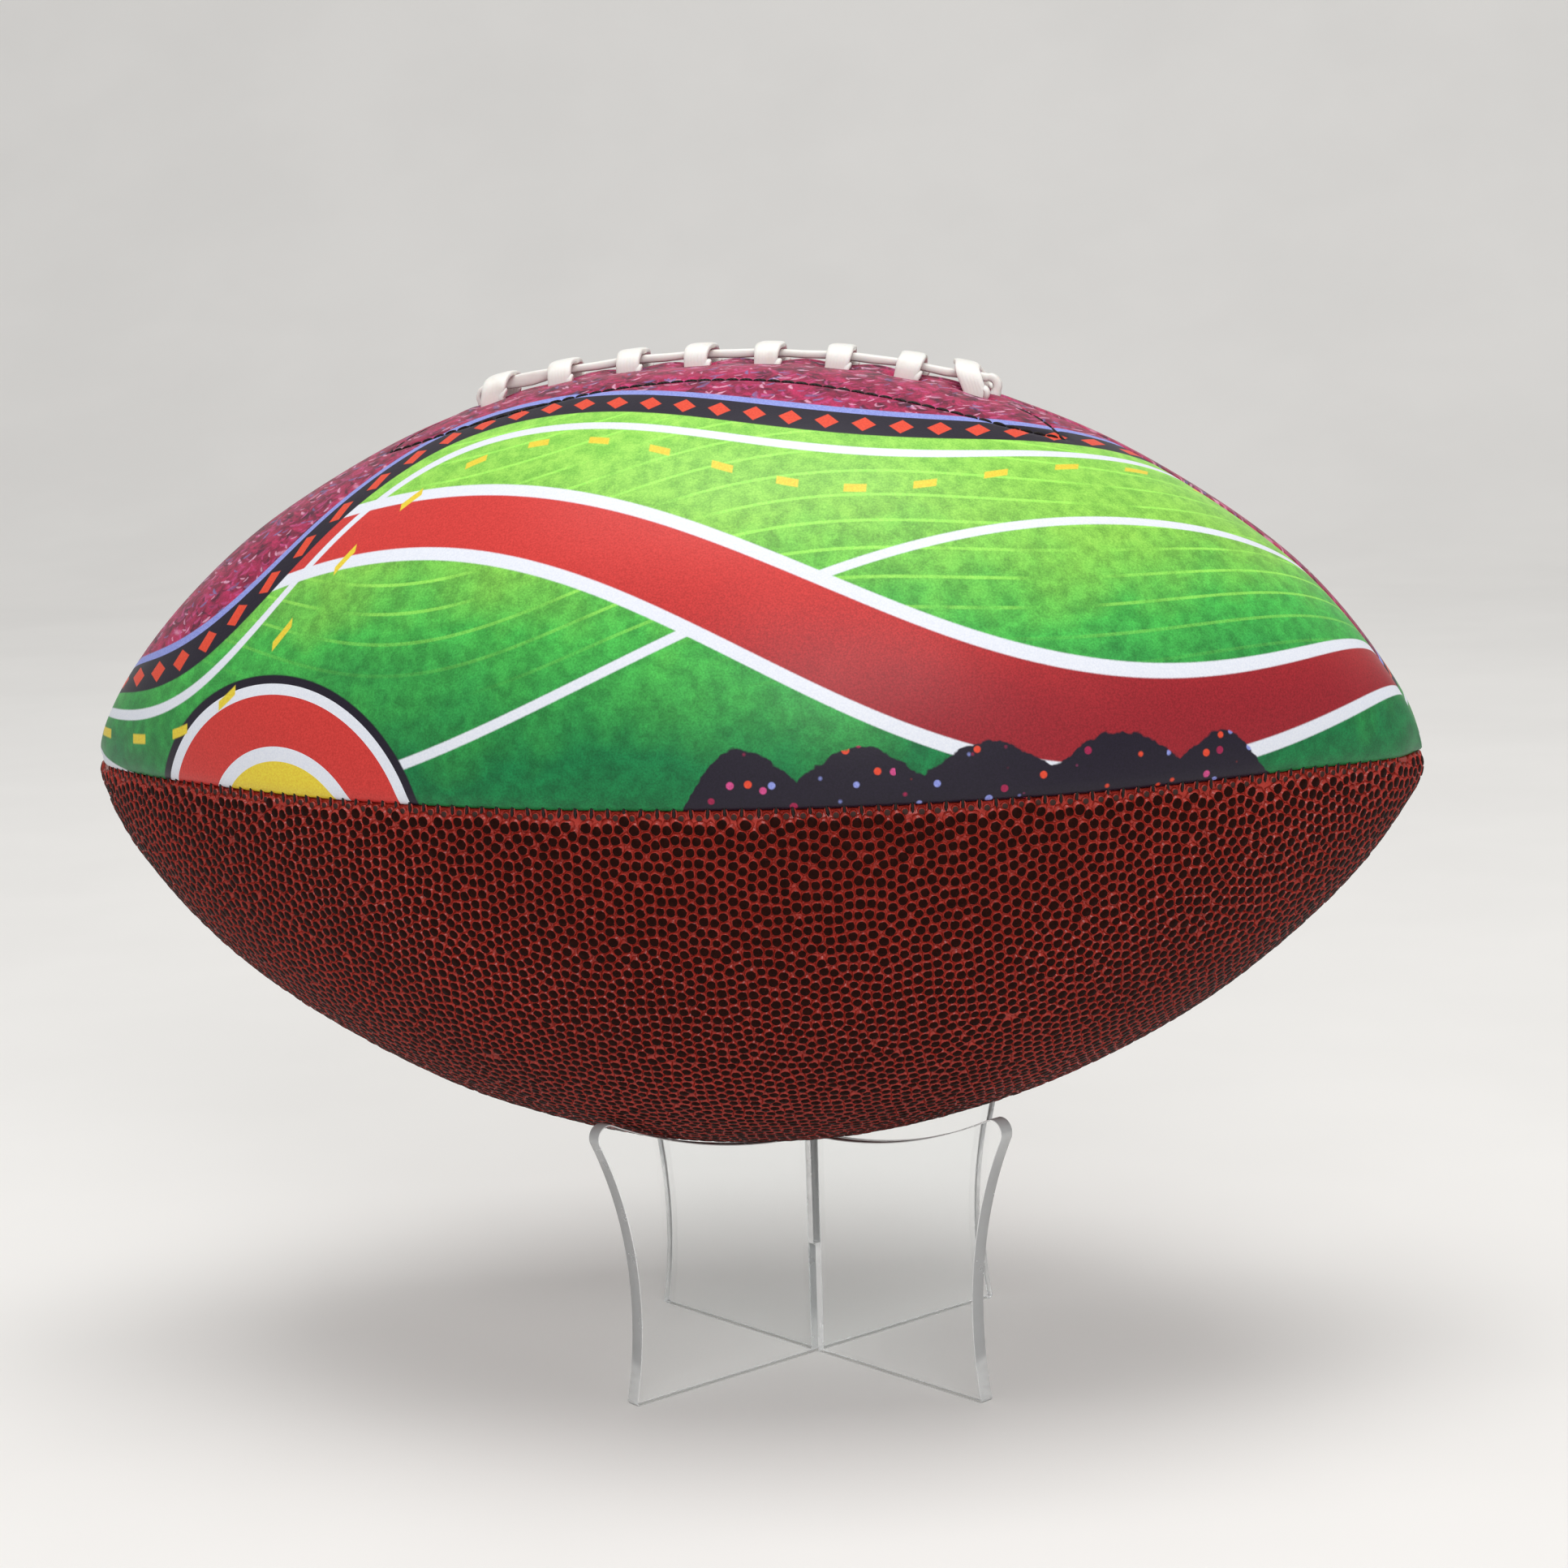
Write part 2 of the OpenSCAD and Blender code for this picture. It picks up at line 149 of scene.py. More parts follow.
class LaceSettings(bpy.types.PropertyGroup):
    """The white lacing and the black thread."""
    count: IntProperty(name="Count", description="Number of cross laces", default=8)
    pitch: length("Pitch", "Distance between neighbouring cross laces", 14.6)
    shift: length("Shift", "How far the row of cross laces sits to the right", 0.5)
    width: length("Width", "Width of a cross lace", 5.25)
    thickness: length("Thickness", "Thickness of a cross lace", 1.5)
    hole_row: length("Hole row", "Distance from the slit to each row of holes", 6.8)
    run_width: length("Run width", "Width of the lengthwise lace", 2.6)
    run_thickness: length("Run thickness", "Thickness of the lengthwise lace", 1.76)
    run_rise: length("Run rise", "Height of the lengthwise lace above the panels", 1.14)
    run_end: length("Run end", "Where the lengthwise lace begins to turn down", 53.0)
    turn: length("Turn", "Inner radius of the turn at each end of the lengthwise lace", 1.4)
    depth: length("Depth", "How deep the laces go below the panels", 5.0)
    white: colour("White", "Colour of the laces", "f1efe9")
    shade: colour("Shade", "Colour of the laces' edges and hollows", "d9d2c6")
    thread: colour("Thread", "Colour of the sewing thread", "17110f")
    seam_pitch: length("Seam pitch", "Distance between the stitches of a seam", 3.25)
    facing_pitch: length("Facing pitch", "Distance between the stitches of the facing", 2.8)


class StandSettings(bpy.types.PropertyGroup):
    """The two clear plates."""
    plate: length("Plate", "Thickness of a plate", 3.2)
    waist_half: length("Waist", "Half length of a plate at its narrowest", 50.2)
    waist_z: length("Waist height", "Height of the narrowest place", 19)
    side_radius: length("Side radius", "Radius of the hollow curve at each end", 84)
    cradle_z: length("Cradle height", "Height of the cradle's lowest point", 48.5)
    cradle_radius: length("Cradle radius", "Radius of the cradle's curve", 130)
    horn: length("Horn", "Radius of the rounded horns", 2.8)
    foot: length("Foot", "Radius of a foot's outer corner", 0.9)
    slot_clear: length("Slot clearance", "Clearance on each side of a slot", 0.1)
    bevel: length("Bevel", "Width of the polished bevels", 0.22)
    turn: number("Turn", "Turn of the lower plate from the ball's long axis, in degrees", 50.5)
    tint: colour("Tint", "Tint of the clear plates", "fdfefe")


class StageSettings(bpy.types.PropertyGroup):
    """The floor, the lamps and the camera."""
    floor: colour("Floor", "Colour of the floor and the backdrop", "dcdad7")
    sky: number("Sky", "Strength of the even light", 0.42)
    key: number("Key", "Power of the front lamp in watts", 8.0)
    top: number("Top", "Power of the overhead lamp in watts", 34.0)
    lens: number("Lens", "Focal length of the camera in millimetres", 80.78)


GROUPS = {
    "football_ball": BallSettings,
    "football_print": PrintSettings,
    "football_pebbles": PebbleSettings,
    "football_laces": LaceSettings,
    "football_stand": StandSettings,
    "football_stage": StageSettings,
}


# ---------------------------------------------------------------- materials

class Wire:
    """A node's socket, on which Python's arithmetic adds Math nodes."""

    def __init__(self, paint, socket):
        self.paint, self.socket = paint, socket

    def math(self, operation, *values):
        return self.paint.math(operation, *values)

    def other(self, output):
        """Another output of the same node."""
        return Wire(self.paint, self.socket.node.outputs[output])

    def __add__(self, other):
        return self.math("ADD", self, other)

    def __sub__(self, other):
        return self.math("SUBTRACT", self, other)

    def __rsub__(self, other):
        return self.math("SUBTRACT", other, self)

    def __mul__(self, other):
        return self.math("MULTIPLY", self, other)

    def __truediv__(self, other):
        return self.math("DIVIDE", self, other)

    def __rtruediv__(self, other):
        return self.math("DIVIDE", other, self)

    def __abs__(self):
        return self.math("ABSOLUTE", self)

    def __neg__(self):
        return self.math("MULTIPLY", self, -1.0)

    def __gt__(self, other):
        return self.math("GREATER_THAN", self, other)

    def __or__(self, other):
        return self.math("MAXIMUM", self, other)

    __radd__ = __add__
    __rmul__ = __mul__

    def sine(self):
        return self.math("SINE", self)

    def fraction(self):
        return self.math("FRACT", self)


class Paint:
    """A material under construction. Every node comes from its node method."""

    def __init__(self, name, **constants):
        self.material = bpy.data.materials.new(name)
        self.material.use_nodes = True
        self.tree = self.material.node_tree
        self.tree.nodes.clear()
        self.out = self.tree.nodes.new("ShaderNodeOutputMaterial")
        self.skin = self.tree.nodes.new("ShaderNodeBsdfPrincipled")
        self.tree.links.new(self.skin.outputs[0], self.out.inputs[0])
        for socket, value in constants.items():
            self.set(self.skin, socket.replace("_", " "), value)

    def set(self, node, socket, value):
        target = node.inputs[socket]
        if isinstance(value, Wire):
            self.tree.links.new(value.socket, target)
        elif hasattr(target.default_value, "__len__") and len(target.default_value) == 4:
            target.default_value = (*tuple(value)[:3], 1.0)
        else:
            target.default_value = value

    def node(self, kind, settings=None, sockets=None, out=0):
        """Adds a node of a type, with its settings first and then its sockets' values or links."""
        node = self.tree.nodes.new(kind)
        for name, value in (settings or {}).items():
            if name == "stops":
                ramp = node.color_ramp.elements
                while len(ramp) < len(value):
                    ramp.new(0.5)
                for element, (place, shade) in zip(ramp, value):
                    element.position = place
                    element.color = (*tuple(shade)[:3], 1.0)
            else:
                setattr(node, name, value)
        for socket, value in (sockets or {}).items():
            self.set(node, socket, value)
        return Wire(self, node.outputs[out])

    def feed(self, **sockets):
        """Feeds sockets of the surface: Base_Color, Roughness, Normal and the like."""
        for socket, value in sockets.items():
            self.set(self.skin, socket.replace("_", " "), value)
        return self.material

    def point(self):
        """The point on the piece at rest, in metres."""
        return self.node("ShaderNodeTexCoord", out="Object")

    def split(self, vector):
        """The three parts of a vector or a colour."""
        first = self.node("ShaderNodeSeparateXYZ", None, {0: vector})
        return first, first.other(1), first.other(2)

    def attribute(self, name):
        """The three parts of a vector that the mesh carries at each point."""
        return self.split(self.node("ShaderNodeAttribute", {"attribute_name": name}, out="Vector"))

    def math(self, operation, *values):
        return self.node("ShaderNodeMath", {"operation": operation}, dict(enumerate(values)))

    def mix(self, factor, a, b, blend="MIX"):
        return self.node("ShaderNodeMix", {"data_type": "RGBA", "blend_type": blend},
                         {0: factor, 6: a, 7: b}, out=2)

    def noise(self, point, scale, detail, roughness):
        return self.node("ShaderNodeTexNoise", None, {"Vector": point, "Scale": scale,
                                                      "Detail": detail, "Roughness": roughness})

    def step(self, value, low, high):
        """0 below low, 1 above high and smooth between them."""
        return self.node("ShaderNodeMapRange", {"interpolation_type": "SMOOTHSTEP"},
                         {"Value": value, "From Min": low, "From Max": high})

    def band(self, value, half, soft):
        """1 where value is within half of nothing, with a soft edge."""
        return 1 - self.step(abs(value), half - soft, half + soft)

    def ramp(self, value, *stops, blended=True):
        """Colours at stops, which run together or, unless blended, change at once."""
        ramp = self.node("ShaderNodeValToRGB", {"stops": stops}, {0: value})
        if not blended:
            ramp.socket.node.color_ramp.interpolation = "CONSTANT"
        return ramp

    def bump(self, height, strength, distance):
        return self.node("ShaderNodeBump", None,
                         {"Height": height, "Strength": strength, "Distance": distance})


def shade_of(tone, factor):
    return tuple(min(1.0, c * factor) for c in tuple(tone)[:3])


def brush_dabs(p, art, u, t, size, reach, weight, tones):
    """Short curved strokes, one to a cell, each turned its own way."""
    flat = p.node("ShaderNodeCombineXYZ", None, {0: u + t * 0.3, 1: t * 1.25})
    cells = p.node("ShaderNodeTexVoronoi", {"voronoi_dimensions": "2D"},
                   {"Vector": flat, "Scale": 1 / size, "Randomness": 1.0}, out="Position")
    off = p.node("ShaderNodeVectorMath", {"operation": "SUBTRACT"}, {0: flat, 1: cells})
    dx, dy, _ = p.split(off)
    pick, kind, _ = p.split(cells.other("Color"))
    turn = (pick - 0.5) * 2.6
    c, s = p.math("COSINE", turn), turn.sine()
    along = (dx * c + dy * s) * (1 / size)
    across = (dy * c - dx * s) * (1 / size) + along * along * 0.5 - 0.04
    wide = 0.02 + 0.17 * p.step(abs(along), reach, reach * 0.3)
    mark = p.step(abs(across), wide, wide * 0.1) * p.step(abs(along), reach, reach * 0.7)
    shade = p.ramp(kind, (0.0, tones.blush), (0.16, tones.magenta), (0.34, tones.plum),
                   (0.56, shade_of(tones.crimson, 1.6)), (0.74, shade_of(tones.sky, 0.6)),
                   (0.83, shade_of(tones.magenta, 0.8)), blended=False)
    return p.mix(mark * weight, art, shade)


def printed_material(tones):
    """Waves, ribbons, rings and brush strokes printed on smooth satin composite."""
    p = Paint("printed_cover", Roughness=0.4, Specular_IOR_Level=0.3)
    point = p.point()
    x, y, z = p.split(point)
    turn = p.math("ARCTAN2", -y, z - BALL_Z)
    side = p.math("SIGN", turn)
    across = p.math("SQRT", y * y + (z - BALL_Z) * (z - BALL_Z))
    u = x * side * (1 / MM)                      # millimetres along the ball
    # Degrees from the laces, in which the way up from the side seam has one scale to the tips
    t = 90 - (90 - abs(turn) * math.degrees(1)) * across * (1 / BALL_R)
    soft = 0.16

    # Brush strokes of the crimson area: dabs of three sizes over cloudy deep reds
    blots = p.noise(point, 190, 3.0, 0.65)
    crimson = p.ramp(blots, (0.32, tones.plum), (0.44, shade_of(tones.crimson, 0.6)),
                     (0.55, tones.crimson), (0.68, shade_of(tones.crimson, 1.35)))
    for size, reach, weight in ((4.4, 0.45, 0.45), (2.9, 0.5, 0.7), (1.9, 0.55, 0.55)):
        crimson = brush_dabs(p, crimson, u, t * side, size, reach, weight, tones)

    # The green field, lit above and deep next to the seam
    clouds = p.noise(point, 34, 3.0, 0.6)
    depth = t + (clouds - 0.5) * 26 + p.step(u, -40, -120) * -6
    green = p.ramp(depth / 100, (0.3, tones.lime), (0.5, shade_of(tones.lime, 0.82)),
                   (0.66, tones.grass), (0.84, tones.emerald))
    daubs = p.noise(point, 300, 2.0, 0.6)
    green = p.mix(0.5, green, p.ramp(daubs, (0.36, (0.30, 0.34, 0.3)), (0.64, (0.72, 0.76, 0.66))),
                  "OVERLAY")
    swell = t + (u / 52).sine() * 9 + (u / 21 + 1.0).sine() * 3
    contour = abs((swell / 4.4).fraction() - 0.5)
    lines = p.step(contour, 0.42, 0.47) * p.step(t, 76, 58) * p.step(clouds, 0.36, 0.52)
    green = p.mix(lines * 0.55, green, shade_of(tones.lime, 1.5))

    # Curves that divide the print: where each lies, in degrees from the laces
    edge = 24 + 46 / (1 + p.math("EXPONENT", (u + 80) / 15)) + (u / 26).sine() * 4.5
    ribbon = 65 + ((u - 22) / 46).sine() * 16
    ribbon_half = 5.4 + (u / 38 + 0.6).sine() * 1.4
    sweep_line = 71 - ((u + 12) / 62).sine() * 21

    art = p.mix(p.band(t - sweep_line, 0.75, soft), green, tones.white)
    # Rings low on the left
    ring = p.math("SQRT", (u + 84) * (u + 84) * 0.5 + (t - 97) * (t - 97))
    rings = p.ramp(ring / 40, (0.0, tones.ribbon), (0.16, tones.sun), (0.29, tones.white),
                   (0.34, tones.ribbon), (0.52, tones.white), (0.56, tones.night), blended=False)
    art = p.mix(1 - p.step(ring, 23.6, 23.9), art, rings)
    # The wide ribbon with its two white borders
    off = t - ribbon
    art = p.mix(p.band(off, ribbon_half + 2.1, soft), art, tones.white)
    # Painted light and shade: the ribbon's red is lighter above and deeper towards the seam.
    red = p.mix(p.step(t + (clouds - 0.5) * 14, 52, 82), tones.ribbon, tones.ribbon_painted_shade)
    art = p.mix(p.band(off, ribbon_half, soft), art, red)
    # A line of marks between the ribbon and the crimson area
    mark = abs((u / 13).fraction() - 0.5) * 13
    marks = p.band(t - edge - 14.5 - (u / 17).sine() * 2, 0.7, soft) * p.step(mark, 2.3, 2.0)
    art = p.mix(marks, art, tones.sun)
    art = p.mix(p.band(t - edge - 9.2, 0.8, soft), art, tones.white)

    # The dark ribbon of diamonds along the crimson area
    over = t - edge
    art = p.mix(p.step(over, 5.6 + soft, 5.6 - soft), art, tones.night)
    diamond = abs((u / 7.2).fraction() - 0.5) * 7.2 + abs(over - 3.0) * 1.35
    art = p.mix(p.step(diamond, 2.5, 2.2) * p.step(over, 5.8, 5.6), art, tones.ember)
    art = p.mix(p.step(over, 0.6, 0.4), art, tones.sky)
    art = p.mix(p.step(over, -0.8, -1.1), art, crimson)

    # Confetti in scallops above the side seam, towards the right
    scallop = 86.2 - abs((u / 7.5).sine()) * 4.2 + p.step(u, 12, -8) * 9 + p.step(u, 100, 116) * 9
    fringe = p.step(t + (daubs - 0.5) * 2, scallop - 0.2, scallop + 0.2)
    dots = p.node("ShaderNodeTexVoronoi", None, {"Vector": point, "Scale": 330.0})
    hue = p.split(dots.other("Color"))[0]
    confetti = p.ramp(hue, (0.0, tones.night), (0.2, tones.sky), (0.4, tones.crimson),
                      (0.55, tones.magenta), (0.68, tones.ember), (0.82, tones.night),
                      blended=False)
    confetti = p.mix(p.step(dots, 0.2, 0.3), confetti, tones.night)
    art = p.mix(fringe, art, confetti)

    # Fine grain of the print and of the cover
    grain = p.noise(point, 2600, 1.0, 0.6)
    art = p.mix(0.5, art, p.ramp(grain, (0.3, (0.3, 0.3, 0.3)), (0.7, (0.7, 0.7, 0.7))),
                "OVERLAY")
    leather = p.node("ShaderNodeTexVoronoi", {"feature": "SMOOTH_F1"},
                     {"Vector": point, "Scale": 1500.0, "Smoothness": 0.6})
    relief = leather * 0.6 + grain * 0.4
    wear = p.noise(point, 60, 3.0, 0.6)
    return p.feed(Base_Color=art, Roughness=0.36 + wear * 0.12,
                  Normal=p.bump(relief, 0.16, 0.00012))


def pebbled_material(tones):
    """Red-brown composite with dark ink on the tops of its pebbles."""
    p = Paint("pebbled_cover", Roughness=0.4, Specular_IOR_Level=0.05, Coat_Roughness=0.2)
    point = p.point()
    across, along, ink_grade = p.attribute("spot")
    fine = p.noise(point, 1900, 2.0, 0.6)
    patch = p.noise(point, 26, 2.0, 0.5)
    grit = p.noise(point, 900, 3.0, 0.65)
    hide = p.ramp((patch - 0.5) * 0.4 + grit, (0.3, tones.hide_dark_and_crease_shade), (0.62, tones.hide))
    ink = p.ramp(grit, (0.32, shade_of(tones.ink, 0.7)), (0.7, shade_of(tones.ink, 1.35)))
    out = across * across + along * along
    # Painted shade: the hide darkens towards each pebble's outer edge, in the creases between the
    # pebbles.
    hide = p.mix(p.step(out, 0.72, 1.15) * 0.6, hide, shade_of(tones.hide_dark_and_crease_shade, 0.7))
    mask = p.step(out + (fine - 0.5) * 0.3, tones.spot ** 2 + 0.08, tones.spot ** 2 - 0.08)
    mask = mask * (ink_grade > 0)
    # The pinned pebbles get the greyer ink.
    ink = p.mix(p.step(ink_grade, 0.9, 0.6), ink, tones.pinned_ink)
    art = p.mix(mask, hide, ink)
    return p.feed(Base_Color=art, Roughness=0.34 + mask * 0.2 + fine * 0.1,
                  Coat_Weight=0.5 - mask * 0.49,
                  Normal=p.bump(fine * 0.5 + grit * 0.5, 0.22, 0.00012))


def lace_material(tones):
    """Smooth white lacing with faint lengthwise lines and soft, slightly soiled edges."""
    p = Paint("lace", Roughness=0.5, Specular_IOR_Level=0.4, Subsurface_Weight=0.06,
              Subsurface_Scale=0.002)
    point = p.point()
    across = p.attribute("strap")[0] * (1 / MM)
    waves = p.noise(point, 420, 2.0, 0.5)
    lines = ((across + (waves - 0.5) * 0.6) * 9).sine()
    soil = p.noise(point, 190, 3.0, 0.6)
    art = p.mix(p.step(soil, 0.5, 0.78) * 0.5, tones.white, tones.shade)
    fine = p.noise(point, 2400, 2.0, 0.6)
    return p.feed(Base_Color=art, Roughness=0.42 + soil * 0.14,
                  Normal=p.bump(lines * 0.35 + fine * 0.5, 0.2, 0.0001))


def thread_material(tones):
    """Black waxed thread with a visible twist."""
    p = Paint("thread", Roughness=0.5, Specular_IOR_Level=0.25)
    point = p.point()
    x, y, z = p.split(point)
    twist = ((x + y * 0.8 + z * 0.7) * 9000).sine()
    fuzz = p.noise(point, 2500, 2.0, 0.6)
    # Painted highlights: the thread is painted lighter along the ridges of its twist.
    art = p.mix(p.step(twist + fuzz, 0.4, 1.5) * 0.6, tones.thread, shade_of(tones.thread, 2.2))
    return p.feed(Base_Color=art, Roughness=0.42 + fuzz * 0.2,
                  Normal=p.bump(twist * 0.5 + fuzz, 0.5, 0.0001))


def cloth_material(name, tone, thread_mm):
    """Plain woven cloth of two crossing sets of threads."""
    p = Paint(name, Roughness=0.85, Sheen_Weight=0.2, Specular_IOR_Level=0.25)
    point = p.point()
    x, y, z = p.split(point)
    across, along = ((way * (math.tau / (thread_mm * MM))).sine()
                     for way in (x + (z - y) * 0.02, y + z + x * 0.02))
    weave = (across * along) * 0.5 + 0.5
    slub = p.noise(point, 700, 3.0, 0.6)
    # Painted shade: the cloth is darker in the low places of the weave, between the threads; the
    # slubs vary it at random.
    art = p.mix(p.step(weave * 0.6 + slub * 0.5, 0.3, 0.85), shade_of(tone, 0.62),
                shade_of(tone, 1.08))
    return p.feed(Base_Color=art, Normal=p.bump(weave * 0.6 + slub * 0.3, 0.5, 0.0002))


def rubber_material(name, tone, roughness):
    """Moulded rubber with a faint bloom and fine mould texture."""
    p = Paint(name, Roughness=roughness, Specular_IOR_Level=0.4)
    point = p.point()
    bloom = p.noise(point, 70, 4.0, 0.65)
    fine = p.noise(point, 1400, 2.0, 0.6)
    art = p.mix(p.step(bloom, 0.42, 0.75) * 0.5, tone, shade_of(tone, 2.4))
    return p.feed(Base_Color=art, Roughness=roughness - 0.1 + bloom * 0.25,
                  Normal=p.bump(fine, 0.25, 0.0001))


def clear_material(name, tint, roughness, banded):
    """Clear cast acrylic. Lamps shine through it, so its shadow stays light."""
    p = Paint(name, Base_Color=tint, Roughness=roughness, IOR=1.49,
              Transmission_Weight=0.55 if banded else 1.0)
    point = p.point()
    haze = p.noise(point, 130, 4.0, 0.7)
    if banded:
        z = p.split(point)[2]
        ripple = p.noise(point, 40, 2.0, 0.5)
        bands = ((z + ripple * 0.004) * 900).sine() + ((z - ripple * 0.003) * 2300).sine() * 0.5
        p.feed(Roughness=0.16 + p.step(haze, 0.45, 0.75) * 0.2,
               Normal=p.bump(bands, 0.12, 0.0002))
    else:
        specks = p.node("ShaderNodeTexVoronoi", None, {"Vector": point, "Scale": 260.0})
        dust = (1 - p.step(specks, 0.03, 0.07)) * p.step(haze, 0.55, 0.7)
        p.feed(Roughness=0.012 + dust * 0.35)
    shadow = p.node("ShaderNodeLightPath", out="Is Shadow Ray")
    through = p.node("ShaderNodeBsdfTransparent", None, {0: shade_of(tint, 0.97)})
    blend = p.node("ShaderNodeMixShader", None, {0: shadow * (0.72 if banded else 0.93),
                                                 1: Wire(p, p.skin.outputs[0]), 2: through})
    p.tree.links.new(blend.socket, p.out.inputs[0])
    return p.material


def floor_material(tone):
    """Plain pale studio board with faint cloudiness."""
    p = Paint("studio_floor", Roughness=0.6, Specular_IOR_Level=0.2)
    clouds = p.noise(p.point(), 5, 3.0, 0.6)
    art = p.mix(p.step(clouds, 0.3, 0.7), shade_of(tone, 0.97), shade_of(tone, 1.02))
    # What the camera, reflections and clear plates see of the board is a little paler.
    seen = [p.node("ShaderNodeLightPath", out=f"Is {kind} Ray")
            for kind in ("Camera", "Glossy", "Transmission")]
    paler = p.mix((seen[0] | seen[1]) | seen[2], (0, 0, 0), shade_of(tone, 0.22))
    p.skin.inputs["Emission Strength"].default_value = 1.0
    return p.feed(Base_Color=art, Emission_Color=paler)


# ---------------------------------------------------------------- mesh tools

def make_mesh(name, points, faces, *materials, smooth=True):
    """Makes a mesh object in the scene."""
    mesh = bpy.data.meshes.new(name)
    mesh.from_pydata(np.asarray(points, float).tolist(), [],
                     [f.tolist() if hasattr(f, "tolist") else list(f) for f in faces])
    mesh.polygons.foreach_set("use_smooth", np.full(len(mesh.polygons), smooth))
    for material in materials:
        mesh.materials.append(material)
    made = bpy.data.objects.new(name, mesh)
    bpy.context.scene.collection.objects.link(made)
    return made


def join_frame(piece, body, slot, *replaces):
    """Tells the frame what a piece rides on and the nodes that it stands for. slot, its finish, is
    not used.
    """
    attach(piece, body)
    if replaces:
        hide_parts(*replaces)
    return piece


def ball_piece(name, points, faces, material, slot, *replaces, uv=None, spots=None, key="spot"):
    """A piece of the ball. spots is a vector for each point, which its material reads by key."""
    piece = make_mesh(name, points, faces, material)
    mesh = piece.data
    if uv is not None:
        mesh.uv_layers.new(name="OFBake").data.foreach_set("uv", np.float32(uv).ravel())
    if spots is not None:
        mesh.attributes.new(key, "FLOAT_VECTOR", "POINT").data.foreach_set(
            "vector", np.float32(spots).ravel())
    mesh.update()
    return join_frame(piece, "ball", slot, *replaces)


def quads(*corner_rows):
    """Faces from four arrays of corners."""
    return np.stack([row.ravel() for row in corner_rows], 1)


def shell_faces(rows, cols):
    """Quads of a closed shell: an outer grid, an inner grid after it, and the walls between."""
    at = np.arange(rows * cols).reshape(rows, cols)
    inner = at + rows * cols
    return np.concatenate([
        quads(at[:-1, :-1], at[:-1, 1:], at[1:, 1:], at[1:, :-1]),
        quads(inner[:-1, :-1], inner[1:, :-1], inner[1:, 1:], inner[:-1, 1:]),
        quads(at[:-1, 0], at[1:, 0], inner[1:, 0], inner[:-1, 0]),
        quads(at[1:, -1], at[:-1, -1], inner[:-1, -1], inner[1:, -1]),
        quads(at[0, 1:], at[0, :-1], inner[0, :-1], inner[0, 1:]),
        quads(at[-1, :-1], at[-1, 1:], inner[-1, 1:], inner[-1, :-1]),
    ])


def unit(v):
    """Vectors at a length of 1."""
    return v / np.maximum(np.linalg.norm(v, axis=-1, keepdims=True), 1e-12)


def running(steps):
    """How far along each place of a line lies, from the steps between them."""
    return np.concatenate([[0], np.cumsum(steps)])


def run_of(path):
    """How far along each point of a path lies."""
    return running(np.linalg.norm(np.diff(path, axis=0), axis=1))


def power_round(c, power):
    """A cosine or sine bent towards the corners of a square, as in a superellipse."""
    return np.sign(c) * np.abs(c) ** (2 / power)


def rounded_section(half_w, half_t, power, count):
    """Points round a section with soft corners, as offsets across and up."""
    a = np.arange(count) * math.tau / count
    return np.stack([half_w * power_round(np.cos(a), power),
                     half_t * power_round(np.sin(a), power)], 1)


def swept(path, across, up, sections):
    """Rings along a path and the faces of the closed strap they make."""
    sections = np.asarray(sections)
    points = (path[:, None] + sections[:, :, :1] * across[:, None]
              + sections[:, :, 1:] * up[:, None]).reshape(-1, 3)
    at = np.arange(len(points)).reshape(sections.shape[:2])
    after = np.roll(at, -1, 1)
    faces = quads(at[:-1], after[:-1], after[1:], at[1:]).tolist()
    return points, faces + [at[0, ::-1].tolist(), at[-1].tolist()]


class Heap:
    """Collects many small closed shapes into one piece."""

    def __init__(self):
        self.points, self.faces, self.spots, self.count = [], [], [], 0

    def add(self, points, faces, spots=None):
        self.points.append(points)
        self.faces += [[i + self.count for i in f] for f in faces]
        self.spots.append(spots)
        self.count += len(points)

    def piece(self, name, material, slot, *replaces):
        """The piece, with all its faces turned outward."""
        spots = None if self.spots[0] is None else np.concatenate(self.spots)
        mesh = ball_piece(name, np.concatenate(self.points), self.faces, material, slot, *replaces,
                          spots=spots, key="strap").data
        shape = bmesh.new()
        shape.from_mesh(mesh)
        bmesh.ops.recalc_face_normals(shape, faces=shape.faces)
        shape.to_mesh(mesh)
        shape.free()
        mesh.update()


# ---------------------------------------------------------------- the ball's surface

def ball_settings():
    return bpy.context.scene.football_ball


def round_radius(x, inset=0.0):
    """Radius of the ball's full round at x, for a surface inset inside it."""
    ball = ball_settings()
    u = np.clip(np.abs(x) / (HALF_LEN - inset), 0, 1)
    return (BALL_R - inset) * (1 - u ** ball.shoulder) ** ball.taper


def on_length(x):
    """x, kept between the ball's tips."""
    return np.clip(x, -HALF_LEN, HALF_LEN)


def round_slope(x):
    """How steeply the ball's radius changes at x."""
    step = 0.02 * MM
    low, high = on_length(x - step), on_length(x + step)
    return (round_radius(high) - round_radius(low)) / np.maximum(high - low, 1e-9)


def round_run(x):
    """How far along the ball's outline each x lies."""
    return running(np.hypot(np.diff(x), np.diff(round_radius(x))))


def folded(phi):
    """phi on the front half that mirrors it."""
    return np.where(phi > math.pi, math.tau - phi, phi)


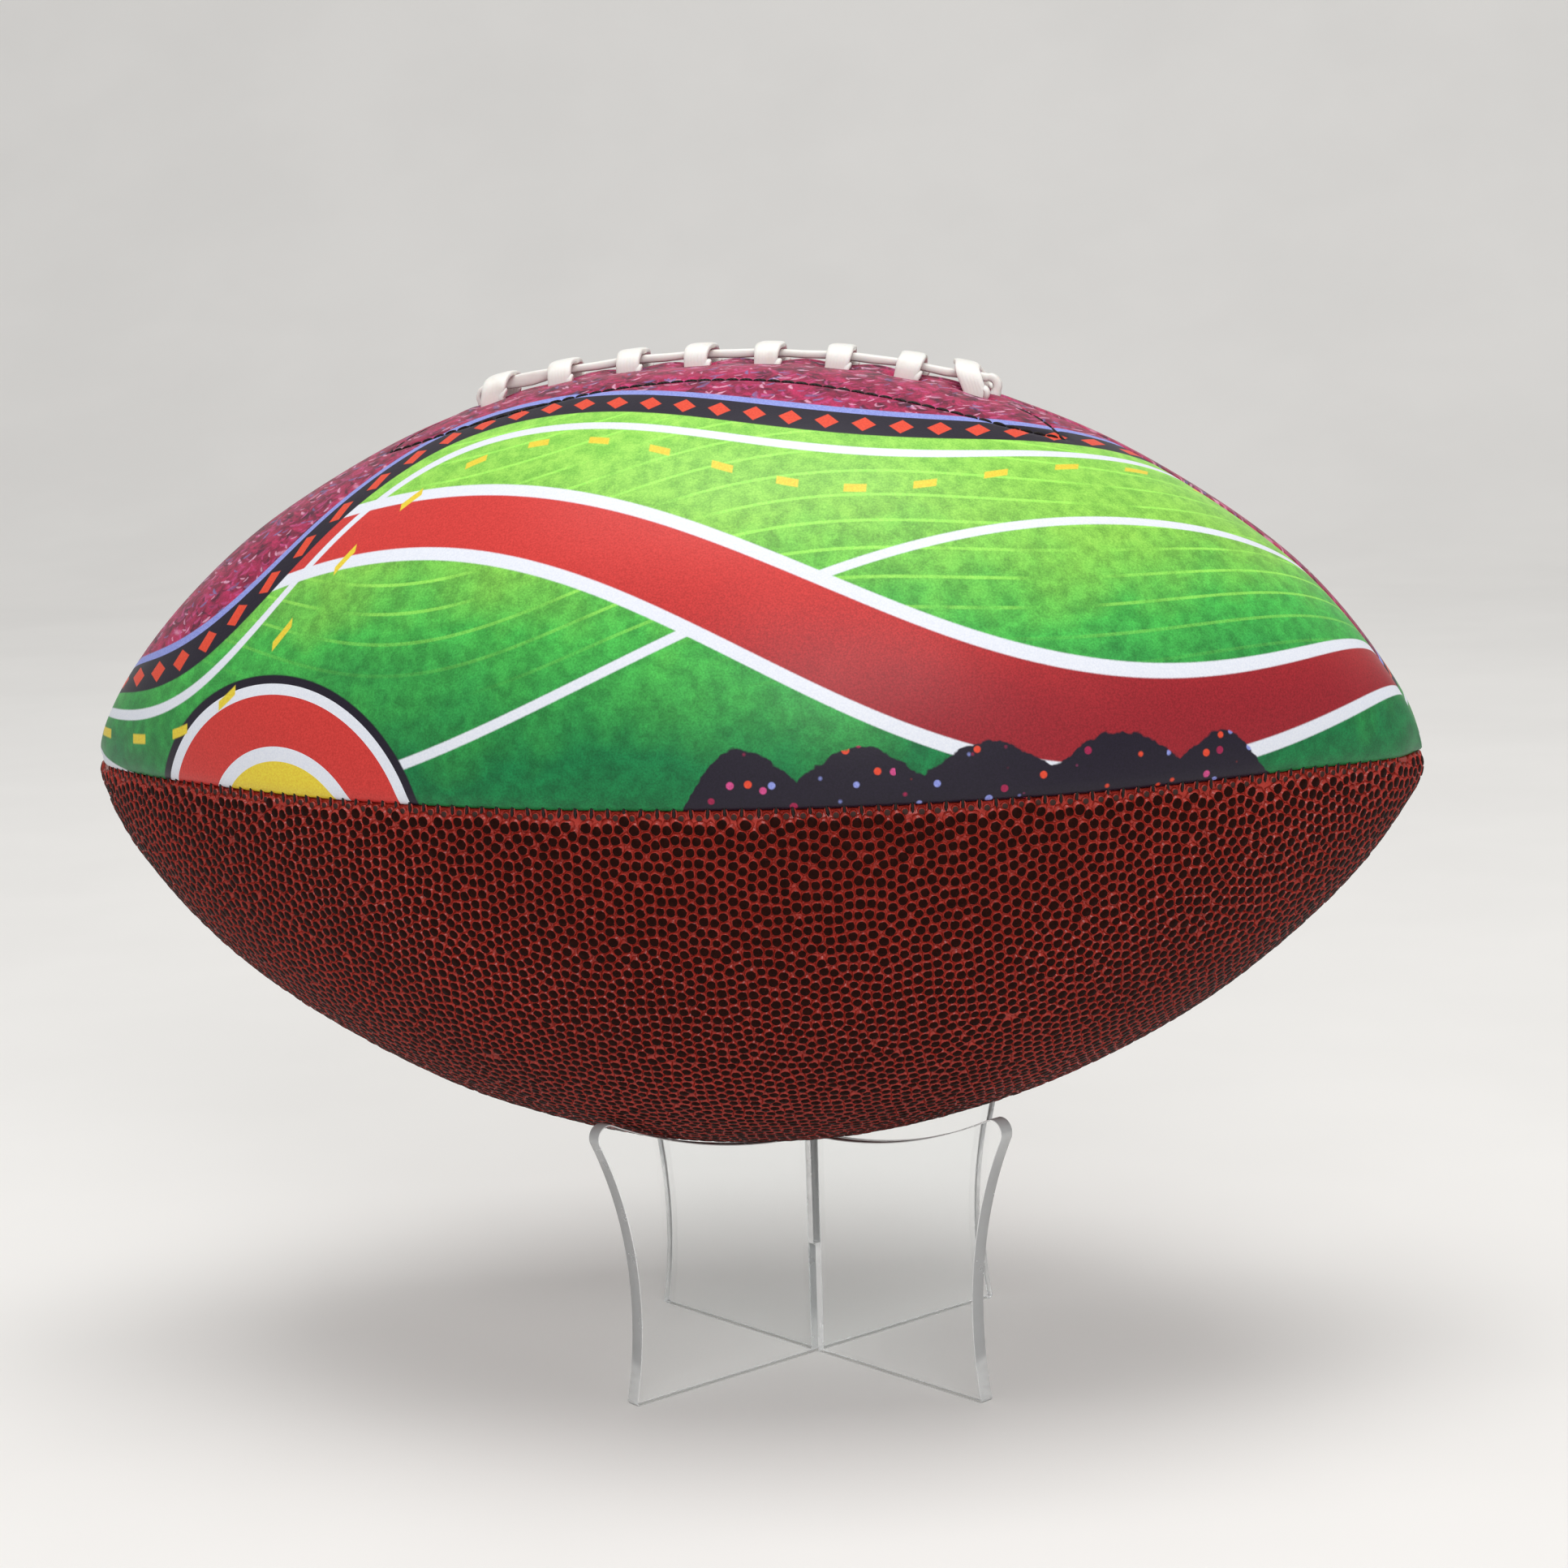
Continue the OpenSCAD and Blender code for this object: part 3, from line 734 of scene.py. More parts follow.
def on_round(x, phi, height=0.0):
    """Points at a height above the ball's round. phi runs from the laces over the front."""
    ball = ball_settings()
    x, phi, height = np.broadcast_arrays(np.asarray(x, float), phi, height)
    slope = round_slope(x)
    lean = 1 / np.sqrt(1 + slope ** 2)
    radius = round_radius(x) + height * lean
    further, fuller, lower = end_shape(x, phi)
    along = x - height * slope * lean + further
    radius = np.maximum(radius + fuller, 0)
    points = np.stack([along, -radius * np.sin(phi), BALL_Z - lower + radius * np.cos(phi)], -1)
    # The laced area is part of a flatter round; the two run together softly.
    top = laced_axis() + np.sqrt((ball.laced_round + height) ** 2 - np.minimum(along ** 2, 0.02))
    blend = 1.6 * MM
    mix = np.clip(0.5 + 0.5 * (top - points[..., 2]) / blend, 0, 1)
    low = points[..., 2] * mix + top * (1 - mix) - blend * mix * (1 - mix)
    points[..., 2] = np.where(np.cos(phi) > 0.5, low, points[..., 2])
    return points


def surface_frame(x, phi, height, step=0.3 * MM):
    """A point on the surface with its directions along the ball, round it and out of it."""
    to_x = unit(on_round(on_length(x + step), phi, height)
                - on_round(on_length(x - step), phi, height))
    turn = step / np.maximum(round_radius(x), 1 * MM)
    to_phi = unit(on_round(x, phi + turn, height) - on_round(x, phi - turn, height))
    return on_round(x, phi, height), to_x, to_phi, unit(np.cross(to_phi, to_x))


def laced_axis():
    """Height of the middle of the laced area's round."""
    ball = ball_settings()
    return BALL_Z + BALL_R - ball.laced_drop - ball.laced_round


def rolled_edge(distance, width, depth):
    """Height of a panel's edge as it rolls down to a seam."""
    u = np.clip(distance / width, 0, 1)
    return -depth * (1 - np.sqrt(np.maximum(1 - (1 - u) ** 2, 0)))


def lace_places():
    """Where the cross laces lie along the ball, from left to right."""
    laces = bpy.context.scene.football_laces
    return (np.arange(laces.count) - (laces.count - 1) / 2) * laces.pitch + laces.shift


# For each cross lace, from left to right, in millimetres: how far it leans to the right on its
# way up, how far it drifts on across its top, and how deep its feet press into the panels
LACE_LEANS = (2.2, 0.8, 0.6, 0.3, 0.4, 0.6, 0.6, -3.1)
LACE_DRIFTS = (0.2, 0.2, 0.0, 0.1, -0.2, -0.4, -0.5, -1.1)
LACE_DIPS = (1.5, 1.2, 1.05, 1.1, 1.15, 1.3, 1.9, 2.1)
# How high the slit's lips stand between one cross lace and the next
LACE_LIPS = (0.35, 0.75, 0.8, 0.8, 0.8, 0.7, 0.3)


def facing_line():
    """The facing's line of stitches on one side, as places along and across, from end to end."""
    ball = ball_settings()
    x = ball.facing_corner * np.sin(np.linspace(-QUARTER, QUARTER, 121))
    y = ball.facing_width * (1 - np.abs(x / ball.facing_reach) ** 6) ** 0.7
    end = np.array([[68.2, 14.9], [66.7, 12.9], [65.0, 11.2], [63.3, 10.1], [60.6, 9.2]]) * MM
    left = end[::-1] * [-1, 1]
    return np.concatenate([left, np.stack([x, y], 1), end])


def distance_to_line(x, y, line):
    """Distance of each place to a line of points."""
    best = np.full(x.shape, 1.0)
    for a, b in zip(line[:-1], line[1:]):
        d = b - a
        t = np.clip(((x - a[0]) * d[0] + (y - a[1]) * d[1]) / max(d @ d, 1e-12), 0, 1)
        best = np.minimum(best, np.hypot(x - a[0] - t * d[0], y - a[1] - t * d[1]))
    return best


def tip_swell(x):
    """How far a panel bulges between its seams towards the tips."""
    far = np.abs(x) / HALF_LEN
    return np.exp(-((far - 0.8) / 0.17) ** 2)


def unevenness(x, phi):
    """The slight unevenness of a hand-finished cover."""
    return MM * (0.10 * np.sin(x * 95 + phi * 3.1) * np.sin(phi * 5.3 + x * 31)
                 + 0.07 * np.sin(x * 171 - phi * 7.7 + 1.3))


# The ball's left and right end, in millimetres: how far it bends down and from where, how much
# fuller it is than the round, how far its middle is sunk, and how far the lower and the upper
# panels stand out round that middle, at what radius
ENDS = ((1.1, 98, 1.0, 0.9, 1.6, 0.5, 3.2), (1.4, 114, -0.55, 1.9, 1.8, 0.6, 5.2))


def end_shape(x, phi):
    """How much further out, fuller and lower the cover lies near the ball's blunt ends."""
    bend, start, full, sunk, low, high, nose = (np.where(x < 0, *pair) * MM for pair in zip(*ENDS))
    far, r, up = np.abs(x), round_radius(x), np.cos(phi)
    ring = r / nose * np.exp(0.5 - 0.5 * (r / nose) ** 2)
    stand_out = np.where(up < 0, low, high) * np.abs(up) ** 0.7 * ring
    hollow = sunk * np.exp(-((HALF_LEN - far) / (3.6 * MM)) ** 2)
    fuller = full * np.exp(-((far - 140.8 * MM) / (10 * MM)) ** 2) * np.clip(r / (6 * MM), 0, 1)
    u = np.clip((far - start) / (HALF_LEN - start), 0, 1)
    return np.sign(x) * (stand_out - hollow), fuller, bend * u * u * (3 - 2 * u)


def seam_roll(x, distance):
    """Height of a panel near a seam, which is narrower towards the tips."""
    ball = ball_settings()
    small = np.clip(round_radius(x) / (26 * MM), 0.12, 1)
    return rolled_edge(distance, ball.crease_width * small, ball.crease_depth * small)


def print_height(x, phi):
    """Height of a printed panel above the full round."""
    ball, laces = ball_settings(), bpy.context.scene.football_laces
    r = round_radius(x)
    y = r * np.abs(np.sin(phi))
    share = np.abs(phi) / QUARTER
    height = (0.35 * MM + 1.35 * MM * tip_swell(x)) * np.sin(np.pi * np.clip(share, 0, 1)) ** 0.8
    height = height + unevenness(x, phi)
    height = height + seam_roll(x, (QUARTER - np.abs(phi)) * r)
    # Beyond the slit the two printed panels are sewn together on top.
    open_part = np.clip((ball.slit_half + 1 * MM - np.abs(x)) / (3 * MM), 0, 1)
    edge = slit_edge(x)
    lip = np.where(open_part > 0, rolled_edge(y - edge, 1.6 * MM, 1.0 * MM) * open_part, 0)
    height = height + lip + seam_roll(x, y) * (1 - open_part)
    # Each lace presses its hole down, and the slit's lips stand up between the laces.
    laced = np.clip((0.5 * MM + ball.slit_half - np.abs(x)) / (4 * MM), 0, 1)
    step = (x - lace_places()[0]) / laces.pitch
    lips = np.take(LACE_LIPS, np.clip(step, 0, laces.count - 2).astype(int), mode="clip") * MM
    between = 0.5 - 0.5 * np.cos(math.tau * step)
    height = height + lips * laced * between * np.exp(-((y - 3.6 * MM) / (2.2 * MM)) ** 2)
    for place, dip in zip(lace_places(), LACE_DIPS):
        out = y - laces.hole_row - 0.9 * MM
        hollow = ((x - place) / (3.1 * MM)) ** 2 + (out / (2.1 * MM)) ** 2
        height = height - dip * MM * np.exp(-hollow)
    # The facing's stitches draw the panel down.
    near = (y < 34 * MM) & (np.abs(x) < 76 * MM) & (np.cos(phi) > 0)
    if near.any():
        gap = np.full(x.shape, 1.0)
        gap[near] = distance_to_line(x[near], y[near], facing_line())
        height = height - 0.42 * MM * np.exp(-(gap / (0.75 * MM)) ** 2)
    return height


def slit_edge(x):
    """Distance of a printed panel's upper edge from the slit's middle."""
    ball = ball_settings()
    part = np.clip((ball.slit_half + 0.5 * MM - np.abs(x)) / (3.0 * MM), 0, 1)
    part = part * part * (3 - 2 * part)
    return 0.06 * MM + 1.42 * MM * part


def pebble_height(x, phi):
    """Height of a pebbled panel's hollows above the full round."""
    r = round_radius(x)
    share = (np.abs(phi) - QUARTER) / QUARTER
    pebbles = bpy.context.scene.football_pebbles
    height = 1.0 * MM * tip_swell(x) * np.sin(np.pi * np.clip(share, 0, 1)) ** 0.8
    height = height + unevenness(x, phi) * 0.6 - pebbles.height * 0.8
    height = height + seam_roll(x, (np.abs(phi) - QUARTER) * r)
    return height + seam_roll(x, (math.pi - np.abs(phi)) * r)


def along_places(rows):
    """Places along the ball, closer together towards the tips."""
    c = 1.27
    t = np.linspace(-1, 1, rows)
    return HALF_LEN * 0.9994 * np.sin(c * t) / math.sin(c)


def across_shares(spans):
    """Shares from 0 to 1 across a panel, from pairs of an end share and a number of steps."""
    shares, start = [0.0], 0.0
    for end, steps in spans:
        shares += list(start + (end - start) * np.arange(1, steps + 1) / steps)
        start = end
    return np.array(shares)


def seam_gap(x):
    """Half the gap between two sewn panels, as an angle round the ball."""
    return np.clip(0.05 * MM / np.maximum(round_radius(x), 1e-6), 0, 0.05)


def cover_panel(name, replaced, x, phi, height, v, material, slot):
    """A panel with an outer and an inner skin on a grid of places. v is its map's other way."""
    rows, cols = phi.shape
    inside = np.minimum(-ball_settings().panel, height - 0.35 * MM)
    points = np.concatenate([on_round(x, phi, h).reshape(-1, 3) for h in (height, inside)])
    faces = shell_faces(rows, cols)
    # In the map the outer skin lies large below, the inner one small above and the walls between.
    u = (x / HALF_LEN + 1) / 2
    skins = [np.stack([u, part], -1).reshape(-1, 2) for part in (0.01 + 0.72 * v, 0.76 + 0.22 * v)]
    uv = np.concatenate(skins)[faces]
    uv[2 * (rows - 1) * (cols - 1):, :, 1] = 0.74 + 0.012 * np.array([0.2, 0.4, 0.6, 0.8])
    ball_piece(name, points, faces, material, slot, replaced, uv=uv)


class FOOTBALL_OT_print_panels(bpy.types.Operator):
    """Make the two smooth printed panels of the upper half"""
    bl_idname = "football.print_panels"
    bl_label = "Printed panels"

    def execute(self, context):
        material = printed_material(context.scene.football_print)
        x = along_places(400)[:, None]
        shares = across_shares([(0.02, 6), (0.06, 7), (0.25, 34), (0.9, 40), (0.975, 9), (1.0, 10)])
        start = np.arcsin(np.clip(slit_edge(x) / np.maximum(round_radius(x), 1e-6), 0, 0.12))
        phi = start + (QUARTER - seam_gap(x) - start) * shares
        x = np.repeat(x, len(shares), 1)
        height = print_height(x, phi)
        for name in ("front", "back"):
            cover_panel(f"printed_panel_{name}", f"panel_print_{name}", x, phi, height,
                        np.abs(phi) / QUARTER, material, "printed_cover")
            phi, height = -phi[:, ::-1], height[:, ::-1]
        return {"FINISHED"}


def stitch_steps(run, pitch):
    """Even steps along a line that is as long as the last value of run."""
    count = int(run[-1] / pitch)
    return (np.arange(count) + 0.5) * run[-1] / count


def stitch_places(pitch, low, high):
    """Places of a seam's stitches along the ball, evenly spaced over its curve."""
    x = np.linspace(low, high, 4000)
    run = round_run(x)
    return np.interp(stitch_steps(run, pitch), run, x)


def around(points):
    """Where points lie round the ball, as phi."""
    return np.mod(np.arctan2(-points[:, 1], points[:, 2] - BALL_Z), math.tau)


def scatter_pebbles(start, context):
    """Where a panel's pebbles lie, each one's eight nearest, and how many are fixed at a seam."""
    pebbles, laces = context.scene.football_pebbles, context.scene.football_laces
    rng = np.random.default_rng(pebbles.seed + int(start * 10))
    pitch = pebbles.pitch
    last = HALF_LEN * 0.998
    fine = np.linspace(-last, last, 6000)
    run = round_run(fine)
    seam_side, away = (QUARTER, 1) if start < math.pi else (3 * QUARTER, -1)
    # Fixed small pebbles stand between the stitches of the side seam.
    holes = stitch_places(laces.seam_pitch, -SEAM_END, SEAM_END)
    fixed_x = (holes[1:] + holes[:-1]) / 2 + rng.normal(0, 0.12 * MM, len(holes) - 1)
    fixed_r = round_radius(fixed_x)
    fixed_phi = seam_side + away * (1.2 * MM + rng.normal(0, 0.1 * MM, len(fixed_x))) / fixed_r
    keep = fixed_r > 9 * MM
    fixed_x, fixed_phi = fixed_x[keep], fixed_phi[keep]
    xs, phis = [], []
    for row in np.arange(0, run[-1], pitch * 0.866):
        x = np.interp(row, run, fine)
        r = float(round_radius(x))
        width = QUARTER * r
        near, far = 2.3 * MM, 1.6 * MM
        if width < near + far:
            near = far = 0.32 * width
        room = width - near - far
        count = max(1, int(round(room / pitch)))
        shift = rng.uniform(0.15, 0.85)
        arc = near + (np.arange(count) + shift) * room / count
        angle = seam_side + away * arc / r
        xs.append(np.full(count, x) + rng.normal(0, 0.24 * pitch, count))
        phis.append(angle + rng.normal(0, 0.24 * pitch, count) / r)
    x = np.clip(np.concatenate([fixed_x, *xs]), -last, last)
    phi = np.concatenate([fixed_phi, *phis])
    pinned = len(fixed_x)
    for _ in range(9):
        points = on_round(x, phi)
        tree = KDTree(len(points))
        for i, co in enumerate(points):
            tree.insert(co, i)
        tree.balance()
        found = np.array([[j for _, j, _ in tree.find_n(co, 9)][1:] for co in points])
        away_from = points[:, None] - points[found]
        gap = np.linalg.norm(away_from, axis=2, keepdims=True)
        apart = np.where(found < pinned, 0.84, 1.06)[..., None] * pitch
        push = (away_from / np.maximum(gap, 1e-7) * np.maximum(apart - gap, 0) * 0.28).sum(1)
        push[:pinned] = 0
        further, _, lower = end_shape(x, phi)
        moved = points + push - np.stack([further, np.zeros(len(x)), -lower], 1)
        r = np.hypot(moved[:, 1], moved[:, 2] - BALL_Z)
        x = np.clip(moved[:, 0], -last, last)
        phi = around(moved)
        arc = (phi - seam_side) * away * r
        width = QUARTER * r
        near = np.minimum(np.where(np.arange(len(x)) < pinned, 0.9 * MM, 1.8 * MM), 0.3 * width)
        arc = np.clip(arc, near, width - np.minimum(1.25 * MM, 0.3 * width))
        phi = seam_side + away * arc / r
    return x, phi, found, pinned


# A pebble has WAYS corners in a ring. RINGS go from its foot, which lies inside its neighbours,
# to its flat top: each has its share of the outline, how round it is and how far up it lies.
WAYS = 12
RINGS = ((1.15, 0.0, -0.25), (0.97, 0.08, 0.16), (0.86, 0.36, 0.7), (0.73, 0.68, 0.95))


def pebble_rings(x, phi, found, pinned, context):
    """Corners of every pebble: its rings and a middle point."""
    pebbles = context.scene.football_pebbles
    rng = np.random.default_rng(pebbles.seed + 77)
    base, to_x, to_phi, normal = surface_frame(x, phi, pebble_height(x, folded(phi)), 0.2 * MM)
    other = np.cross(normal, to_x)
    angle = rng.uniform(0, math.tau, len(x))[:, None] + np.arange(WAYS) * math.tau / WAYS
    rays = (np.cos(angle)[..., None] * to_x[:, None] + np.sin(angle)[..., None] * other[:, None])
    d = base[found] - base[:, None]
    reach = np.einsum("nwk,njk->nwj", rays, d)
    # Larger pebbles push their walls towards smaller neighbours.
    weight = rng.normal(0, 0.055, len(x)).clip(-0.12, 0.12)
    weight[:pinned] = -0.3
    bias = 1 + weight[:, None] - weight[found]
    half = (d ** 2).sum(2)[:, None] * bias[:, None] / (2 * np.maximum(reach, 1e-6))
    outline = np.minimum(half.min(2), 0.8 * pebbles.pitch)
    r = np.maximum(round_radius(x), 0.1 * MM)
    margin = np.minimum((folded(phi) - QUARTER) * r, (math.pi - folded(phi)) * r)
    # Near a seam the wall stops at the seam.
    toward = np.abs(np.einsum("nwk,nk->nw", rays, to_phi))
    outline = np.minimum(outline, np.maximum(margin, 0.15 * MM)[:, None] / np.maximum(toward, 0.3))
    outline[:pinned] = np.minimum(outline[:pinned], 0.34 * pebbles.pitch)
    even = np.minimum(outline.mean(1, keepdims=True), 0.6 * pebbles.pitch)
    tall = pebbles.height * np.clip(even[:, 0] / (0.5 * pebbles.pitch), 0.4, 1.1)
    tall = tall * rng.uniform(0.85, 1.1, len(x))
    rings = []
    for share, round_part, rise in RINGS:
        near = np.minimum(outline, 0.66 * pebbles.pitch) if round_part else outline
        reach = share * (near * (1 - round_part) + even * round_part)
        rings.append(base[:, None] + rays * reach[..., None]
                     + normal[:, None] * (tall * rise)[:, None, None])
    centre = base + normal * (tall * 1.04)[:, None]
    return np.concatenate([*rings, centre[:, None]], 1)


class FOOTBALL_OT_pebble_panels(bpy.types.Operator):
    """Make the two pebbled panels of the lower half, with every pebble as a raised shape"""
    bl_idname = "football.pebble_panels"
    bl_label = "Pebbled panels"

    def execute(self, context):
        material = pebbled_material(context.scene.football_pebbles)
        shares = across_shares([(0.03, 10), (0.97, 70), (1.0, 10)])
        x = np.repeat(along_places(300)[:, None], len(shares), 1)
        gap = seam_gap(x)
        for name, start in (("front", QUARTER), ("back", math.pi)):
            phi = start + gap + (QUARTER - 2 * gap) * shares
            cover_panel(f"pebbled_panel_{name}", f"panel_pebble_{name}", x, phi,
                        pebble_height(x, folded(phi)), (phi - start) / QUARTER, material,
                        "pebbled_cover")
            self.pebbles(name, start, material, context)
        return {"FINISHED"}

    def pebbles(self, name, start, material, context):
        """The pebbles of one panel, in five pieces from left to right."""
        x, phi, found, pinned = scatter_pebbles(start, context)
        corner = pebble_rings(x, phi, found, pinned, context)
        ring = np.arange(WAYS)
        after = np.roll(ring, -1)
        steps = len(RINGS) - 1
        wall = quads(ring, after, after + WAYS, ring + WAYS)
        walls = np.concatenate([wall + WAYS * k for k in range(steps)])
        fan = np.stack([ring + steps * WAYS, after + steps * WAYS,
                        np.full(WAYS, (steps + 1) * WAYS)], 1)
        # Where each corner lies on its pebble, and 1 for a pebble with the usual ink or less for a
        # pinned one with greyer ink
        turn = ring * math.tau / WAYS
        spot = [np.stack([share * np.cos(turn), share * np.sin(turn)], 1) for share, _, _ in RINGS]
        spot = np.concatenate([*spot, [[0.0, 0.0]]])
        pinned_ink = np.where(np.arange(len(x)) < pinned, 0.5, 1.0)
        parts = np.array([-1, -0.5, -0.16, 0.16, 0.5, 1]) * HALF_LEN
        for part, (low, high) in enumerate(zip(parts[:-1], parts[1:])):
            chosen = (x >= low) & (x < high)
            n, m = corner[chosen].shape[:2]
            points = corner[chosen].reshape(-1, 3)
            first = np.arange(n)[:, None, None] * m
            sides, tops = (first + walls).reshape(-1, 4), (first + fan).reshape(-1, 3)
            feet = first[:, 0] + ring[::-1]
            # In the map what shows is large, with the feet in a thin strip above it.
            turned = around(points)
            u = 0.01 + 0.98 * np.clip((points[:, 0] - low) / (high - low), 0, 1)
            v = 0.02 + 0.93 * np.clip((turned - start) / QUARTER, 0, 1)
            flat = np.stack([u, v], 1)
            uv = np.concatenate([flat[sides.ravel()], flat[tops.ravel()],
                                 flat[feet.ravel()] * [1, 0.02] + [0, 0.97]])
            spots = np.concatenate([np.repeat(spot[None], n, 0),
                                    np.repeat(pinned_ink[chosen][:, None, None], m, 1)], 2)
            ball_piece(f"pebbles_{name}_{part + 1}", points,
                       sides.tolist() + tops.tolist() + feet.tolist(), material, "pebbled_cover",
                       uv=uv, spots=spots)


def spindle(middle, along, up, half_len, half_w, half_h, bow=0.0):
    """A short stitch with rounded ends, which may bow to one side."""
    t = np.sin(np.linspace(-1, 1, 9) * QUARTER * 0.97)
    across = np.cross(up, along)
    size = np.maximum(1 - np.abs(t) ** 2.6, 0.03) ** 0.5
    path = middle + np.outer(t * half_len, along) + np.outer(bow * (1 - t * t), across)
    sections = [rounded_section(half_w * s, half_h * s, 2.2, 8) for s in size]
    return swept(path, np.tile(across, (len(t), 1)), np.tile(up, (len(t), 1)), sections)


class FOOTBALL_OT_seams(bpy.types.Operator):
    """Sew the seams between the panels and the line of stitches round the facing"""
    bl_idname = "football.seams"
    bl_label = "Seams"

    def execute(self, context):
        laces = context.scene.football_laces
        thread = thread_material(laces)
        hide = pebbled_material(context.scene.football_pebbles)
        rng = np.random.default_rng(5)
        whole = [(-SEAM_END, SEAM_END)]
        slit_end = ball_settings().slit_half + 1 * MM
        runs = {
            "front": (QUARTER, 1, whole),
            "back": (3 * QUARTER, -1, whole),
            "bottom": (math.pi, 1, whole),
            "top": (0.0, 1, [(-SEAM_END, -slit_end), (slit_end, SEAM_END)]),
        }
        for name, (seam, away, spans) in runs.items():
            threads, rims = Heap(), Heap()
            for low, high in spans:
                for x in stitch_places(laces.seam_pitch, low, high):
                    self.stitch(x, seam, away, name, threads, rims, rng)
            threads.piece(f"seam_stitches_{name}", thread, "thread", f"seam_thread_{name}")
            if rims.count:
                rims.piece(f"stitch_holes_{name}", hide, "pebbled_cover")
        for name, side in (("front", 1), ("back", -1)):
            self.facing(name, side, thread, laces)
        return {"FINISHED"}

    def stitch(self, x, seam, away, name, threads, rims, rng):
        """One stitch across a seam. On the side seams it comes out of a small hole with a rim."""
        side_seam = name in ("front", "back")
        r = float(round_radius(x))
        small = min(1.0, r / (22 * MM))
        phi = seam + away * (0.3 if side_seam else 0.0) * MM * small / r
        if name == "top":
            height = -1.0 * MM * small
        else:
            height = float(pebble_height(np.array(x), np.array(folded(phi) + 0.65 * MM / r)))
        base, to_x, to_phi, up = surface_frame(x, phi, height)
        along = unit(to_phi * away + to_x * rng.normal(0, 0.09))
        threads.add(*spindle(base + up * 0.08 * MM, along, up, 1.28 * MM * small,
                             0.35 * MM * small, 0.34 * MM * small))
        if side_seam and small > 0.5:
            rims.add(*self.rim(base + along * 0.5 * MM, along, up))

    def rim(self, middle, along, up):
        """The low rim of a stitch's hole, a closed ring of cover."""
        steps, ways = 14, 6
        turn = np.arange(steps) * math.tau / steps
        path = (middle + np.outer(np.cos(turn) * 1.12 * MM, along)
                + np.outer(np.sin(turn) * 0.52 * MM, np.cross(up, along)) - up * 0.04 * MM)
        tangent = unit(np.roll(path, -1, 0) - np.roll(path, 1, 0))
        sections = [rounded_section(0.22 * MM, 0.2 * MM, 2.0, ways)] * steps
        points, faces = swept(path, np.cross(tangent, up), np.tile(up, (steps, 1)), sections)
        # The last section joins the first, in place of the two ends.
        at = np.arange(steps * ways).reshape(steps, ways)
        after = np.roll(at, -1, 1)
        return points, faces[:-2] + quads(at[-1], after[-1], after[0], at[0]).tolist()

    def facing(self, name, side, thread, laces):
        """The scalloped black stitches round the facing."""
        line = facing_line()
        run = run_of(line)

        def spot(place):
            """A place along the line, as x and phi and as a point on the print."""
            x, y = (float(np.interp(place, run, line[:, i])) for i in (0, 1))
            phi = math.asin(min(0.999, y / float(round_radius(x))))
            height = float(print_height(np.array([x]), np.array([phi]))[0])
            return x, side * phi, on_round(x, side * phi, height)

        heap = Heap()
        for place in stitch_steps(run, laces.facing_pitch):
            x, phi, point = spot(place)
            along = unit(spot(place + 0.4 * MM)[2] - point)
            up = surface_frame(x, phi, 0.0)[3]
            up = unit(up - along * (up @ along))
            heap.add(*spindle(point + up * 0.1 * MM, along, up, 1.38 * MM, 0.36 * MM, 0.36 * MM,
                              bow=0.3 * MM * side))
        heap.piece(f"facing_seam_{name}", thread, "thread", f"facing_stitches_{name}")


